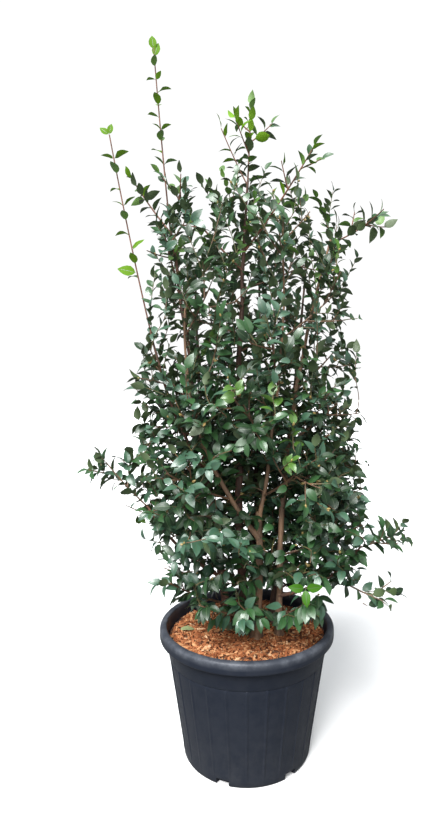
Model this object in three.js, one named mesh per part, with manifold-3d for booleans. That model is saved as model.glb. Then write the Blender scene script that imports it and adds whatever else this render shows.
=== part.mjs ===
// A camellia shrub in its black nursery pot, in millimetres, +Z up.
// The origin is the centre of the pot's flat underside; +X is the shrub's right and -Y its front.
//
// Limbs are tapering tubes along quadratic curves. Every mass of foliage is one twig that starts
// on a limb, branches by a seeded rule and carries folded leaf blades; it keeps to the space that
// lies nearer to its own stem than to the stem of any other mass.
import * as THREE from "three";
import { mergeVertices } from "three/addons/utils/BufferGeometryUtils.js";
import Module from "manifold-3d";

const wasm = await Module();
wasm.setup();

const { Vector3 } = THREE;

// ---------------------------------------------------------------- driving sizes
const PLANT_HEIGHT = 1880;
const CLEARANCE = 0.3;

const POT_HEIGHT = 328;
const RIM_RADIUS = 229;
const RIM_INNER_RADIUS = 211;
const LIP_HEIGHT = 34;
const LIP_ROUNDING = 9;
const WALL_TOP_RADIUS = 213;
const BASE_RADIUS = 162;
const BASE_CHAMFER = 4;
const WALL_THICKNESS = 4;
const FLOOR_THICKNESS = 14;
const BAND_HEIGHT = 28;
const BAND_STEP = 1.6;
const FLUTE_COUNT = 18;
const FLUTE_DEPTH = 2.2;
const NOTCH_COUNT = 8;
const NOTCH_WIDTH = 36;
const NOTCH_HEIGHT = 9;
const NOTCH_DEPTH = 14;
const NOTCH_TURN = -11;

const MULCH_TOP = 298;
const MULCH_DEPTH = 26;
const FOOT_LEVEL = MULCH_TOP + CLEARANCE;
const FOLIAGE_LIFT = 6;

const LIMB_SIDES = 6;
const LIMB_STEPS = 8;
const ROOT_FLARE = 0.55;
const FLARE_HEIGHT = 26;

const TWIG_SIDES = 3;
const TWIG_STEPS = 3;
const TWIG_RADIUS = 3.4;
const TWIG_TIP_RADIUS = 2.1;
const SIDE_TWIG_RADIUS = 2.6;
const SIDE_TWIG_LENGTH = 88;
const LEAF_LENGTH = 92;
const LEAF_WIDTH_RATIO = 0.56;
const LEAF_THICKNESS = 2;
const LEAF_FOLD = 3.2;
const LEAF_WIDEST = 0.46;
const LEAF_SINK = 0.6;
const LEAF_SPACING = 32;

const GOLDEN_ANGLE = Math.PI * (3 - Math.sqrt(5));
const UP = new Vector3(0, 0, 1);

// How far the foliage reaches to the left, the right and in depth, by height.
const REACH = {
  height: [350, 450, 560, 680, 800, 940, 1080, 1220, 1350, 1450],
  left: [190, 225, 290, 320, 300, 310, 300, 275, 285, 240],
  right: [210, 320, 350, 340, 310, 280, 285, 280, 290, 210],
  depth: [200, 270, 305, 310, 290, 285, 280, 265, 245, 180],
};

// Tiers of masses round the stems: the height of their tips, and how many there are.
const TIERS = [
  { height: 500, count: 4, turn: 20 },
  { height: 630, count: 5, turn: 52 },
  { height: 770, count: 5, turn: 8 },
  { height: 905, count: 5, turn: 44 },
  { height: 1040, count: 4, turn: 15 },
  { height: 1175, count: 4, turn: 62 },
  { height: 1310, count: 4, turn: 28 },
];
const TIER_RISE = 95;
const TIER_INSET = 40;
const ROOT_SPACING = 46;
const STEM_GAP = 12;
const LEAF_GAP = 9;
const TWIG_GAP = 5;
const MASS_SPREAD = 120;
const SPACE_MARGIN = 3;

// A clear space at the front, low down, through which the stems show.
const WINDOW = { centre: [8, -175, 590], radii: [100, 175, 125] };

// Stems rise from the mulch; boughs leave a stem part of the way along it.
const LIMBS = [
  { name: "stem_leader", foot: [-4, 34], tip: [3, 2, 1500], bow: [-20, 6, 0], radii: [14, 3] },
  { name: "stem_front", foot: [24, -40], tip: [31, -42, 624], bow: [3, 0, 0], radii: [11.5, 7.8] },
  { name: "stem_right", foot: [84, -26], tip: [222, -12, 1340], bow: [-40, 0, 0], radii: [9, 2.8] },
  { name: "stem_left", foot: [-46, 6], tip: [-213, 4, 1439], bow: [-4, 26, 0], radii: [10.5, 2.8] },
  { name: "stem_back", foot: [16, 88], tip: [36, 168, 1330], bow: [8, 34, 0], radii: [10, 2.8] },
  { name: "stem_back_left", foot: [-52, 72], tip: [-150, 150, 1280], bow: [-24, 12, 0], radii: [9, 2.8] },
  { name: "stem_back_right", foot: [68, 48], tip: [172, 132, 1290], bow: [4, 24, 0], radii: [9, 2.8] },
  { name: "bough_front_left", on: "stem_front", at: 0.8, tip: [-150, -122, 1140], bow: [-58, 0, -22],
    radii: [6.4, 2.6] },
  { name: "bough_front_right", on: "stem_front", at: 0.93, tip: [92, -126, 1170], bow: [8, -12, 0],
    radii: [5.6, 2.6] },
  { name: "bough_whip", on: "stem_left", at: 0.36, tip: [-246, -62, 1092], bow: [-14, -14, -10],
    radii: [5, 2.7] },
  { name: "bough_low_left", on: "stem_left", at: 0.12, tip: [-250, -84, 650], bow: [-10, -10, -14],
    radii: [5, 2.7] },
  { name: "bough_low_right", on: "stem_right", at: 0.1, tip: [290, -70, 545], bow: [12, -6, -22],
    radii: [5, 2.7] },
];

// Masses with a place of their own: the long shoots on top and the sprays that reach out low down.
const SHOOTS = [
  { name: "shoot_leader", on: "stem_leader", at: 1, tip: [11, 0, 1700], laterals: 4, leaf: 60, spread: 105 },
  { name: "shoot_whip_tall", on: "stem_left", at: 1, tip: [-249, 0, PLANT_HEIGHT - 27], laterals: 0, leaf: 50,
    spread: 62, along: 10 },
  { name: "shoot_whip_left", on: "bough_whip", at: 1, tip: [-350, -66, 1590], laterals: 0, leaf: 54,
    spread: 64, along: 10 },
  { name: "shoot_left_low", on: "stem_left", at: 0.93, tip: [-312, 22, 1512], laterals: 1, leaf: 56, spread: 70 },
  { name: "shoot_left_high", on: "stem_leader", at: 0.8, tip: [-226, -36, 1502], laterals: 2, leaf: 60,
    spread: 80 },
  { name: "shoot_right_high", on: "stem_leader", at: 0.84, tip: [178, -14, 1584], laterals: 3, leaf: 62,
    spread: 90 },
  { name: "shoot_right_tips", on: "stem_right", at: 1, tip: [340, -14, 1392], laterals: 3, leaf: 70,
    spread: 110 },
  { name: "spray_far_left", on: "bough_low_left", at: 1, tip: [-352, -90, 760], laterals: 2, leaf: 66,
    spread: 85 },
  { name: "spray_far_right", on: "bough_low_right", at: 1, tip: [364, -84, 576], laterals: 2, leaf: 74,
    spread: 95 },
  { name: "spray_low_right", on: "bough_low_right", at: 0.6, tip: [330, -130, 430], laterals: 2, leaf: 74,
    spread: 95 },
  { name: "spray_low_left", on: "stem_left", at: 0.06, tip: [-188, -118, 468], laterals: 2, leaf: 72,
    spread: 90 },
  { name: "spray_front_left", on: "stem_front", at: 0.16, tip: [-92, -172, 432], laterals: 2, leaf: 68,
    spread: 85 },
  { name: "spray_front_middle", on: "stem_front", at: 0.3, tip: [0, -190, 404], laterals: 1, leaf: 66,
    spread: 80 },
  { name: "spray_front_right", on: "stem_right", at: 0.05, tip: [140, -166, 440], laterals: 2, leaf: 68,
    spread: 85 },
];

const MASS_DEFAULTS = { along: 3 };
const TIER_LATERALS = 3;

// ---------------------------------------------------------------- small helpers
const vector = (values) => new Vector3(...values);
const lerp = (a, b, t) => a + (b - a) * t;
const radians = (degrees) => degrees * Math.PI / 180;

/** A repeatable stream of numbers from 0 to 1. */
function seededRandom(seed) {
  let state = seed >>> 0;
  const next = () => {
    state = (Math.imul(state, 1664525) + 1013904223) >>> 0;
    return state / 4294967296;
  };
  next();
  next();
  return next;
}

/** Linear interpolation in a table of heights. */
function tableValue(heights, values, height) {
  if (height <= heights[0]) return values[0];
  for (let i = 1; i < heights.length; i++) {
    if (height <= heights[i]) {
      const t = (height - heights[i - 1]) / (heights[i] - heights[i - 1]);
      return lerp(values[i - 1], values[i], t);
    }
  }
  return values.at(-1);
}

/** How far the foliage reaches from the upright axis at a height, in one direction. */
function reachAt(height, azimuth) {
  const side = Math.cos(azimuth) > 0 ? REACH.right : REACH.left;
  const x = Math.cos(azimuth) * tableValue(REACH.height, side, height);
  const y = Math.sin(azimuth) * tableValue(REACH.height, REACH.depth, height);
  return Math.hypot(x, y);
}

/** The closest place on a path: the distance to it, and how far along the path it lies. */
function closestOnPath(point, path) {
  let best = { distance: Infinity, along: 0 };
  const step = new Vector3();
  const offset = new Vector3();
  for (let i = 0; i + 1 < path.length; i++) {
    step.subVectors(path[i + 1], path[i]);
    offset.subVectors(point, path[i]);
    const t = Math.min(1, Math.max(0, offset.dot(step) / step.lengthSq()));
    const distance = offset.addScaledVector(step, -t).length();
    if (distance < best.distance) best = { distance, along: (i + t) / (path.length - 1) };
  }
  return best;
}

/** Two directions at right angles to a given one and to each other. */
function crossFrame(direction) {
  const first = new Vector3().crossVectors(direction, Math.abs(direction.z) > 0.9 ? new Vector3(1, 0, 0) : UP);
  first.normalize();
  return [first, new Vector3().crossVectors(direction, first)];
}

// ---------------------------------------------------------------- solids
/** A manifold solid from a three.js geometry, its shared corners merged. */
function solidFrom(geometry) {
  const bare = geometry.clone();
  bare.deleteAttribute("normal");
  bare.deleteAttribute("uv");
  const merged = mergeVertices(bare, 1e-4);
  const index = merged.index.array;
  const triangles = [];
  for (let i = 0; i < index.length; i += 3) {
    const [a, b, c] = index.subarray(i, i + 3);
    if (a !== b && b !== c && c !== a) triangles.push(a, b, c);
  }
  return new wasm.Manifold(new wasm.Mesh({
    numProp: 3,
    vertProperties: new Float32Array(merged.attributes.position.array),
    triVerts: new Uint32Array(triangles),
  }));
}

/** A three.js geometry from a manifold solid. */
function geometryFrom(solid) {
  const mesh = solid.getMesh();
  const geometry = new THREE.BufferGeometry();
  geometry.setAttribute("position", new THREE.BufferAttribute(mesh.vertProperties, 3));
  geometry.setIndex(new THREE.BufferAttribute(mesh.triVerts, 1));
  geometry.computeVertexNormals();
  return geometry;
}

/** The largest single body of a solid: loose scraps and the shells of sealed hollows are left out. */
function largestBody(solid) {
  const bodies = solid.decompose();
  return bodies.reduce((best, body) => (body.volume() > best.volume() ? body : best));
}

/** A closed geometry from corner points and triples of corner numbers. */
function closedGeometry(corners, triangles) {
  const geometry = new THREE.BufferGeometry();
  geometry.setAttribute("position", new THREE.Float32BufferAttribute(corners.flatMap((p) => p.toArray()), 3));
  geometry.setIndex(triangles);
  return geometry;
}

/** A closed tapering tube round a path, with flat ends. */
function tube(path, radii, sides) {
  const corners = [];
  const triangles = [];
  const direction = new Vector3().subVectors(path[1], path[0]).normalize();
  const [across] = crossFrame(direction);
  for (let i = 0; i < path.length; i++) {
    direction.subVectors(path[Math.min(i + 1, path.length - 1)], path[Math.max(i - 1, 0)]).normalize();
    across.addScaledVector(direction, -across.dot(direction)).normalize();
    const other = new Vector3().crossVectors(direction, across);
    for (let k = 0; k < sides; k++) {
      const turn = 2 * Math.PI * k / sides;
      corners.push(path[i].clone().addScaledVector(across, radii[i] * Math.cos(turn))
        .addScaledVector(other, radii[i] * Math.sin(turn)));
    }
  }
  for (let i = 0; i + 1 < path.length; i++) {
    for (let k = 0; k < sides; k++) {
      const a = i * sides + k;
      const b = i * sides + (k + 1) % sides;
      triangles.push(a, b, b + sides, a, b + sides, a + sides);
    }
  }
  const last = (path.length - 1) * sides;
  for (let k = 1; k + 1 < sides; k++) {
    triangles.push(0, k + 1, k);
    triangles.push(last, last + k, last + k + 1);
  }
  return closedGeometry(corners, triangles);
}

/** The six corners of a leaf blade: base, tip, both edges and the two sides of its midrib. */
function leafCorners(leaf) {
  const { base, direction, normal, length } = leaf;
  const across = new Vector3().crossVectors(normal, direction).normalize();
  const middle = base.clone().addScaledVector(direction, length * LEAF_WIDEST);
  const half = length * LEAF_WIDTH_RATIO / 2;
  return [
    base.clone().addScaledVector(direction, -LEAF_SINK),
    base.clone().addScaledVector(direction, length),
    middle.clone().addScaledVector(across, half).addScaledVector(normal, LEAF_FOLD),
    middle.clone().addScaledVector(across, -half).addScaledVector(normal, LEAF_FOLD),
    middle.clone().addScaledVector(normal, LEAF_THICKNESS / 2),
    middle.clone().addScaledVector(normal, -LEAF_THICKNESS / 2),
  ];
}

/** A folded leaf blade of eight faces. */
function leafBlade(leaf) {
  const base = 0;
  const tip = 1;
  const left = 2;
  const right = 3;
  const top = 4;
  const under = 5;
  return closedGeometry(leafCorners(leaf), [
    base, top, left, left, top, tip, tip, top, right, right, top, base,
    base, left, under, left, tip, under, tip, right, under, right, base, under,
  ]);
}

// ---------------------------------------------------------------- pot, soil and mulch
const wallRadiusAt = (height) => lerp(BASE_RADIUS, WALL_TOP_RADIUS, height / (POT_HEIGHT - LIP_HEIGHT));
const boreRadiusAt = (height) => wallRadiusAt(height) - WALL_THICKNESS - FLUTE_DEPTH;

/** A body turned about the upright axis from a profile of [radius, height] pairs. */
function turned(profile) {
  const points = profile.map(([radius, height]) => new THREE.Vector2(radius, height));
  return new THREE.LatheGeometry(points, 2 * FLUTE_COUNT).rotateX(Math.PI / 2);
}

/** The pot: a fluted tapering wall, a smooth band, a rounded turned-over lip and notches in its foot. */
function potGeometry() {
  const lipBottom = POT_HEIGHT - LIP_HEIGHT;
  const bandBottom = lipBottom - BAND_HEIGHT;
  const profile = [
    [0, 0],
    [BASE_RADIUS - BASE_CHAMFER, 0],
    [wallRadiusAt(BASE_CHAMFER), BASE_CHAMFER],
    [wallRadiusAt(bandBottom) - BAND_STEP, bandBottom],
    [wallRadiusAt(bandBottom), bandBottom + BAND_STEP],
    [WALL_TOP_RADIUS, lipBottom],
    [RIM_RADIUS - 4, lipBottom - 1],
    [RIM_RADIUS, lipBottom + 5],
    [RIM_RADIUS, POT_HEIGHT - LIP_ROUNDING],
    [RIM_RADIUS - 0.3 * LIP_ROUNDING, POT_HEIGHT - 0.3 * LIP_ROUNDING],
    [RIM_RADIUS - LIP_ROUNDING, POT_HEIGHT],
    [RIM_INNER_RADIUS + 3, POT_HEIGHT - 1],
    [RIM_INNER_RADIUS, POT_HEIGHT - 5],
    [boreRadiusAt(lipBottom - 6), lipBottom - 6],
    [boreRadiusAt(FLOOR_THICKNESS), FLOOR_THICKNESS],
    [0, FLOOR_THICKNESS],
  ];
  const geometry = turned(profile);
  const position = geometry.attributes.position;
  const ridge = Math.PI / FLUTE_COUNT;
  for (let i = 0; i < position.count; i++) {
    const radius = Math.hypot(position.getX(i), position.getY(i));
    const height = position.getZ(i);
    const onWall = height >= BASE_CHAMFER - 0.1 && height <= bandBottom + 0.1
      && radius > wallRadiusAt(height) - WALL_THICKNESS;
    const step = Math.round(Math.atan2(position.getX(i), position.getY(i)) / ridge);
    if (onWall && Math.abs(step) % 2 === 1) {
      const scale = (radius - FLUTE_DEPTH) / radius;
      position.setX(i, position.getX(i) * scale);
      position.setY(i, position.getY(i) * scale);
    }
  }
  let pot = solidFrom(geometry);
  for (let i = 0; i < NOTCH_COUNT; i++) {
    const notch = new THREE.BoxGeometry(2 * NOTCH_DEPTH, NOTCH_WIDTH, 2 * NOTCH_HEIGHT);
    notch.translate(BASE_RADIUS, 0, 0);
    notch.rotateZ(radians(NOTCH_TURN + 360 * i / NOTCH_COUNT));
    pot = pot.subtract(solidFrom(notch));
  }
  return geometryFrom(largestBody(pot));
}

/** A filling that follows the pot's bore between two heights. */
function fillingGeometry(bottom, top) {
  return turned([
    [0, bottom],
    [boreRadiusAt(bottom) - CLEARANCE, bottom],
    [boreRadiusAt(top) - CLEARANCE, top],
    [0, top],
  ]);
}

// ---------------------------------------------------------------- limbs
/** Works out a limb's path and radii; a bough starts on the middle line of the limb that bears it. */
function layOutLimb(sizes, earlier) {
  const bearer = sizes.on ? earlier.find((limb) => limb.name === sizes.on) : null;
  const start = bearer ? bearer.curve.getPoint(sizes.at) : vector([...sizes.foot, FOOT_LEVEL]);
  const tip = vector(sizes.tip);
  const middle = start.clone().add(tip).multiplyScalar(0.5).addScaledVector(vector(sizes.bow), 2);
  const curve = new THREE.QuadraticBezierCurve3(start, middle, tip);
  const path = [];
  const radii = [];
  for (let i = 0; i <= LIMB_STEPS; i++) {
    const t = bearer ? i / LIMB_STEPS : (i / LIMB_STEPS) ** 1.25;
    const point = curve.getPoint(t);
    const flare = bearer ? 0 : ROOT_FLARE * Math.exp((FOOT_LEVEL - point.z) / FLARE_HEIGHT);
    path.push(point);
    radii.push(lerp(sizes.radii[0], sizes.radii[1], t) * (1 + flare));
  }
  return { name: sizes.name, bearer, curve, path, radii };
}

/** A limb's radius part of the way along it. */
function limbRadius(limb, along) {
  const place = along * (limb.radii.length - 1);
  const i = Math.min(Math.floor(place), limb.radii.length - 2);
  return lerp(limb.radii[i], limb.radii[i + 1], place - i);
}

/** The limb as a solid, thickened all over by a margin. */
function limbSolid(limb, margin = 0) {
  const path = limb.path.map((point) => point.clone());
  const onward = path.at(-1).clone().sub(path.at(-2)).normalize();
  path.at(-1).addScaledVector(onward, margin);
  const grown = margin / Math.cos(Math.PI / LIMB_SIDES);
  if (!limb.bearer) path[0].z = FOOT_LEVEL - margin;
  return solidFrom(tube(path, limb.radii.map((radius) => radius + grown), LIMB_SIDES));
}

/** A limb's own geometry: a stem is cut flat at the mulch, a bough clear of its bearer. */
function limbGeometry(limb) {
  const solid = limbSolid(limb);
  if (limb.bearer) return geometryFrom(largestBody(solid.subtract(limbSolid(limb.bearer, CLEARANCE))));
  const reach = 4 * limb.radii[0];
  const below = new THREE.BoxGeometry(reach, reach, reach);
  below.translate(limb.path[0].x, limb.path[0].y, FOOT_LEVEL - reach / 2);
  return geometryFrom(largestBody(solid.subtract(solidFrom(below))));
}

// ---------------------------------------------------------------- spaces of the masses
/** True where a point lies inside the clear space at the front. */
function inWindow(point) {
  const [x, y, z] = WINDOW.centre;
  const [a, b, c] = WINDOW.radii;
  return ((point.x - x) / a) ** 2 + ((point.y - y) / b) ** 2 + ((point.z - z) / c) ** 2 < 1;
}

/** True where foliage stands clear of the mulch and of the pot's lip. */
function clearOfPot(point) {
  const overLip = Math.hypot(point.x, point.y) > RIM_INNER_RADIUS - 2 * FOLIAGE_LIFT;
  return point.z > (overLip ? POT_HEIGHT : MULCH_TOP) + FOLIAGE_LIFT;
}

/** True where a point is clear of all limbs by a gap. */
function clearOfLimbs(point, gap, ignored = null) {
  return limbs.every((limb) => {
    if (limb === ignored) return true;
    const { distance, along } = closestOnPath(point, limb.path);
    return distance > limbRadius(limb, along) + gap;
  });
}

/** A mass's stem: a curve that leaves the limb's middle line and rises to the tip. */
function massStem(root, tip) {
  const middle = root.clone().lerp(tip, 0.5);
  middle.z -= 0.06 * root.distanceTo(tip);
  const curve = new THREE.QuadraticBezierCurve3(root, middle, tip);
  return curve.getPoints(TWIG_STEPS);
}

/** True where a mass's stem passes clear of the limbs, of the window and of the stems laid out before. */
function stemIsFree(stem, limb, masses) {
  const { length } = stem;
  return stem.slice(1).every((end, i) => [0.15, 0.3, 0.45, 0.6, 0.75, 0.9, 1].every((part) => {
    const point = stem[i].clone().lerp(end, part);
    const nearRoot = i === 0 && part * (length - 1) < 1.5;
    return clearOfLimbs(point, STEM_GAP, nearRoot ? limb : null)
      && masses.every((other) => closestOnPath(point, other.stem).distance > STEM_GAP);
  }));
}

/** Finds where a mass starts: the best free place on a limb, below its tip and in line with it. */
function findRoot(tip, masses) {
  const wish = new Vector3(0.4 * tip.x, 0.4 * tip.y, tip.z - TIER_RISE);
  let best = null;
  for (const limb of limbs) {
    for (let step = 4; step <= 48; step++) {
      const at = step / 50;
      const root = limb.curve.getPoint(at);
      const cost = root.distanceTo(wish) + 0.6 * Math.max(0, root.z - wish.z);
      if (best && cost >= best.cost) continue;
      if (root.z > tip.z - 25 || masses.some((mass) => mass.root.distanceTo(root) < ROOT_SPACING)) continue;
      if (stemIsFree(massStem(root, tip), limb, masses)) best = { cost, limb, at };
    }
  }
  return best;
}

/** Lists every mass with its root, its stem and its own sizes. */
function layOutMasses() {
  const masses = [];
  const add = (name, limb, at, tip, sizes) => {
    const root = limb.curve.getPoint(Math.min(at, 0.985));
    const along = closestOnPath(root, limb.path).along;
    masses.push({
      name, limb, root, stem: massStem(root, tip), seed: 7919 * (masses.length + 1),
      radius: Math.min(TWIG_RADIUS, 0.8 * limbRadius(limb, along)), ...MASS_DEFAULTS, ...sizes,
    });
  };
  for (const shoot of SHOOTS) {
    const limb = limbs.find((candidate) => candidate.name === shoot.on);
    add(shoot.name, limb, shoot.at, vector(shoot.tip), shoot);
  }
  const random = seededRandom(41);
  for (const [number, tier] of TIERS.entries()) {
    for (let i = 0; i < tier.count; i++) {
      const azimuth = radians(tier.turn + 360 * i / tier.count + 14 * (random() - 0.5));
      const height = tier.height + 50 * (random() - 0.5);
      const reach = reachAt(height, azimuth) - TIER_INSET;
      const tip = new Vector3(reach * Math.cos(azimuth), reach * Math.sin(azimuth), height);
      if (inWindow(tip)) continue;
      const found = findRoot(tip, masses);
      if (!found) continue;
      add(`foliage_${number + 1}${"abcde"[i]}`, found.limb, found.at, tip,
        { laterals: TIER_LATERALS, leaf: LEAF_LENGTH, spread: MASS_SPREAD });
    }
  }
  return masses;
}

/** True where a point belongs to a mass and is free, at least a gap away from the limbs. */
function inSpace(mass, point, gap) {
  const own = closestOnPath(point, mass.stem).distance;
  if (own > mass.spread || !clearOfPot(point) || inWindow(point)) return false;
  if (!clearOfLimbs(point, gap)) return false;
  return masses.every((other) => other === mass
    || closestOnPath(point, other.stem).distance > own + SPACE_MARGIN);
}

// ---------------------------------------------------------------- growth
/** True where a leaf stays inside its mass's space. */
function leafFits(mass, leaf) {
  const [, tip, left, right] = leafCorners(leaf);
  const early = leaf.base.clone().addScaledVector(leaf.direction, 0.2 * leaf.length);
  const between = (a, b) => a.clone().lerp(b, 0.5);
  const tests = [tip, left, right, early, between(tip, left), between(tip, right), between(left, right),
    between(early, left), between(early, right)];
  return tests.every((point) => inSpace(mass, point, LEAF_GAP));
}

/** Adds a leaf at a place on a twig, on one of the twig's faces, where it fits. */
function addLeaf(mass, leaves, base, onward, face, spreadAngle, length, random) {
  const [first, second] = crossFrame(onward);
  const tilt = 0.5 * (random() - 0.5);
  for (const [faceBy, scale] of [[0, 1], [1, 1], [2, 0.95], [0, 0.75], [1, 0.7]]) {
    const turn = (face + faceBy + 0.5) * 2 * Math.PI / TWIG_SIDES;
    const side = first.clone().multiplyScalar(Math.cos(turn)).addScaledVector(second, Math.sin(turn));
    const direction = onward.clone().multiplyScalar(Math.cos(spreadAngle))
      .addScaledVector(side, Math.sin(spreadAngle));
    direction.z += 0.12;
    direction.normalize();
    const outward = new Vector3(base.x, base.y, 0).normalize();
    const normal = UP.clone().multiplyScalar(0.75).addScaledVector(outward, 0.9)
      .addScaledVector(new Vector3().crossVectors(direction, UP), tilt);
    normal.addScaledVector(direction, -normal.dot(direction)).normalize();
    const leaf = { base, direction, normal, length: length * scale };
    const middle = base.clone().addScaledVector(direction, leaf.length * LEAF_WIDEST);
    const crowded = leaves.some((other) => other.middle.distanceTo(middle) < LEAF_SPACING);
    if (!crowded && leafFits(mass, leaf)) {
      leaves.push({ ...leaf, middle });
      return;
    }
  }
}

/** A point and the onward direction part of the way along a path. */
function placeOn(path, along) {
  const place = along * (path.length - 1);
  const i = Math.min(Math.floor(place), path.length - 2);
  return {
    point: path[i].clone().lerp(path[i + 1], place - i),
    onward: path[i + 1].clone().sub(path[i]).normalize(),
  };
}

/** Adds leaves along the outer part of a twig, the last of them close to its tip and in line with it. */
function addLeaves(mass, leaves, path, count, from, random) {
  const start = Math.floor(TWIG_SIDES * random());
  for (let i = 0; i < count; i++) {
    const last = i === count - 1;
    const { point, onward } = placeOn(path, lerp(from, 0.96, i / (count - 1)));
    const length = mass.leaf * (0.85 + 0.2 * random());
    addLeaf(mass, leaves, point, onward, start + i, radians(last ? 26 : 54), length, random);
  }
}

/** A side twig that leaves a mass's stem, as long as its space allows. */
function sideTwig(mass, along, turn, random) {
  const { point, onward } = placeOn(mass.stem, along);
  const [first, second] = crossFrame(onward);
  const side = first.multiplyScalar(Math.cos(turn)).addScaledVector(second, Math.sin(turn));
  const direction = onward.clone().multiplyScalar(0.62).addScaledVector(side, 0.78);
  direction.z += 0.15;
  direction.normalize();
  const full = SIDE_TWIG_LENGTH * (0.85 + 0.3 * random()) * mass.spread / MASS_SPREAD;
  for (const scale of [1, 0.75, 0.5]) {
    const path = [0.4, 0.7, 1].map((part) => point.clone().addScaledVector(direction, part * scale * full));
    if (path.every((place) => inSpace(mass, place, TWIG_GAP))) return [point, path.at(-1)];
  }
  return null;
}

/** Grows a mass: its stem, side twigs and leaves, by the seeded rule. */
function growMass(mass) {
  const random = seededRandom(mass.seed);
  const twigs = [{ path: mass.stem, from: mass.radius, to: TWIG_TIP_RADIUS }];
  const leaves = [];
  let turn = 2 * Math.PI * random();
  for (let i = 0; i < mass.laterals; i++) {
    turn += GOLDEN_ANGLE;
    const along = lerp(0.36, 0.9, (i + 0.5) / mass.laterals);
    const path = sideTwig(mass, along, turn, random);
    if (!path) continue;
    twigs.push({ path, from: SIDE_TWIG_RADIUS, to: TWIG_TIP_RADIUS });
    addLeaves(mass, leaves, path, 3, 0.45, random);
  }
  addLeaves(mass, leaves, mass.stem, mass.along, 0.3, random);
  return { twigs, leaves };
}

/** A mass's own geometry: twigs and leaves fused, and cut clear of the limb that bears them. */
function massGeometry(mass) {
  const { twigs, leaves } = growMass(mass);
  const parts = twigs.map(({ path, from, to }) => {
    const radii = path.map((_, i) => lerp(from, to, i / (path.length - 1)));
    return solidFrom(tube(path, radii, TWIG_SIDES));
  });
  parts.push(...leaves.map((leaf) => solidFrom(leafBlade(leaf))));
  const fused = wasm.Manifold.union(parts).subtract(limbSolid(mass.limb, CLEARANCE));
  return geometryFrom(largestBody(fused));
}

// ---------------------------------------------------------------- the assembly
const paint = (color, roughness) => new THREE.MeshStandardMaterial({ color, roughness, metalness: 0 });
const BARK = [0x7d6248, 0x85684b, 0x765a41];
const FOLIAGE = [0x33502f, 0x3b5a36, 0x2c4629, 0x456a39];

const camellia = new THREE.Group();

function place(name, geometry, material) {
  const mesh = new THREE.Mesh(geometry, material);
  mesh.name = name;
  camellia.add(mesh);
}

const limbs = [];
for (const sizes of LIMBS) limbs.push(layOutLimb(sizes, limbs));
const masses = layOutMasses();

place("pot", potGeometry(), paint(0x2b3038, 0.55));
place("soil", fillingGeometry(FLOOR_THICKNESS + CLEARANCE, MULCH_TOP - MULCH_DEPTH), paint(0x3c2f26, 0.95));
place("mulch", fillingGeometry(MULCH_TOP - MULCH_DEPTH + CLEARANCE, MULCH_TOP), paint(0x8a5a38, 0.9));
for (const [i, limb] of limbs.entries()) place(limb.name, limbGeometry(limb), paint(BARK[i % BARK.length], 0.8));
for (const [i, mass] of masses.entries()) {
  place(mass.name, massGeometry(mass), paint(FOLIAGE[i % FOLIAGE.length], 0.45));
}

export default camellia;
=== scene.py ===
"""A camellia shrub in its black nursery pot: bark, twigs, leaves, buds, mulch and pot dressed for rendering.

Everything is in metres, +Z up, with the origin at the centre of the pot's flat underside, +X to the
shrub's right and -Y to its front. Limbs, masses and side twigs are laid out by the same seeded rule as
the solids that they replace; each coarse blade there is carried on here to a spray of true leaves.
"""

from __future__ import annotations

import logging
import math
from collections.abc import Callable, Iterable
from dataclasses import dataclass, field
from enum import Enum

import bpy
import numpy as np
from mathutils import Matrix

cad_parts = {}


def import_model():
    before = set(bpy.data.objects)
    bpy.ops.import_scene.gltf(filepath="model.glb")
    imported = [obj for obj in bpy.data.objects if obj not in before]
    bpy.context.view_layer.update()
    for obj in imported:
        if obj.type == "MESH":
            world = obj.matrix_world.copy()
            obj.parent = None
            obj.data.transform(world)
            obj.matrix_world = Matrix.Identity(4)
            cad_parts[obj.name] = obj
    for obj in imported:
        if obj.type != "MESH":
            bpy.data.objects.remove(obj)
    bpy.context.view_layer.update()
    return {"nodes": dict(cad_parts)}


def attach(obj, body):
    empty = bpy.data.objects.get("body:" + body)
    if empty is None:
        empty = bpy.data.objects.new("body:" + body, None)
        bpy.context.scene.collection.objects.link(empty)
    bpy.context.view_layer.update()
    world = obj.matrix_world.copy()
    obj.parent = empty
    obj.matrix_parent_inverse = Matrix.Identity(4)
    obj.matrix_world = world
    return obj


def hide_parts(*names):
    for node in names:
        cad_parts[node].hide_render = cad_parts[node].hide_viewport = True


LOG = logging.getLogger("camellia")

Points = np.ndarray
Colour = tuple[float, float, float]
Place = tuple[float, float, float]
Span = tuple[float, float]
Socket = bpy.types.NodeSocket
Piece = bpy.types.Object

ROOT_BODY = "root"
GOLDEN_ANGLE = math.pi * (3 - math.sqrt(5))
UP = np.array([0.0, 0.0, 1.0])


# ---- sizes of the growth rule
@dataclass(frozen=True)
class GrowthSizes:
    """The driving sizes of the seeded growth rule, shared with the solids."""

    plant_height: float = 1.880
    pot_height: float = 0.328
    rim_inner_radius: float = 0.211
    mulch_top: float = 0.298
    clearance: float = 0.0003
    foliage_lift: float = 0.006
    limb_steps: int = 8
    root_flare: float = 0.55
    flare_height: float = 0.026
    twig_steps: int = 3
    twig_sides: int = 3
    twig_radius: float = 0.0034
    side_twig_length: float = 0.088
    leaf_length: float = 0.092
    leaf_width_ratio: float = 0.56
    leaf_fold: float = 0.0032
    leaf_widest: float = 0.46
    leaf_spacing: float = 0.032
    tier_rise: float = 0.095
    tier_inset: float = 0.040
    tier_laterals: int = 3
    root_spacing: float = 0.046
    stem_gap: float = 0.012
    leaf_gap: float = 0.009
    twig_gap: float = 0.005
    mass_spread: float = 0.120
    space_margin: float = 0.003
    layout_seed: int = 41
    mass_seed: int = 7919


GROWTH = GrowthSizes()
FOOT_LEVEL = GROWTH.mulch_top + GROWTH.clearance
STEM_SAG = 0.06
TWIG_SAG = 0.05

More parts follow.
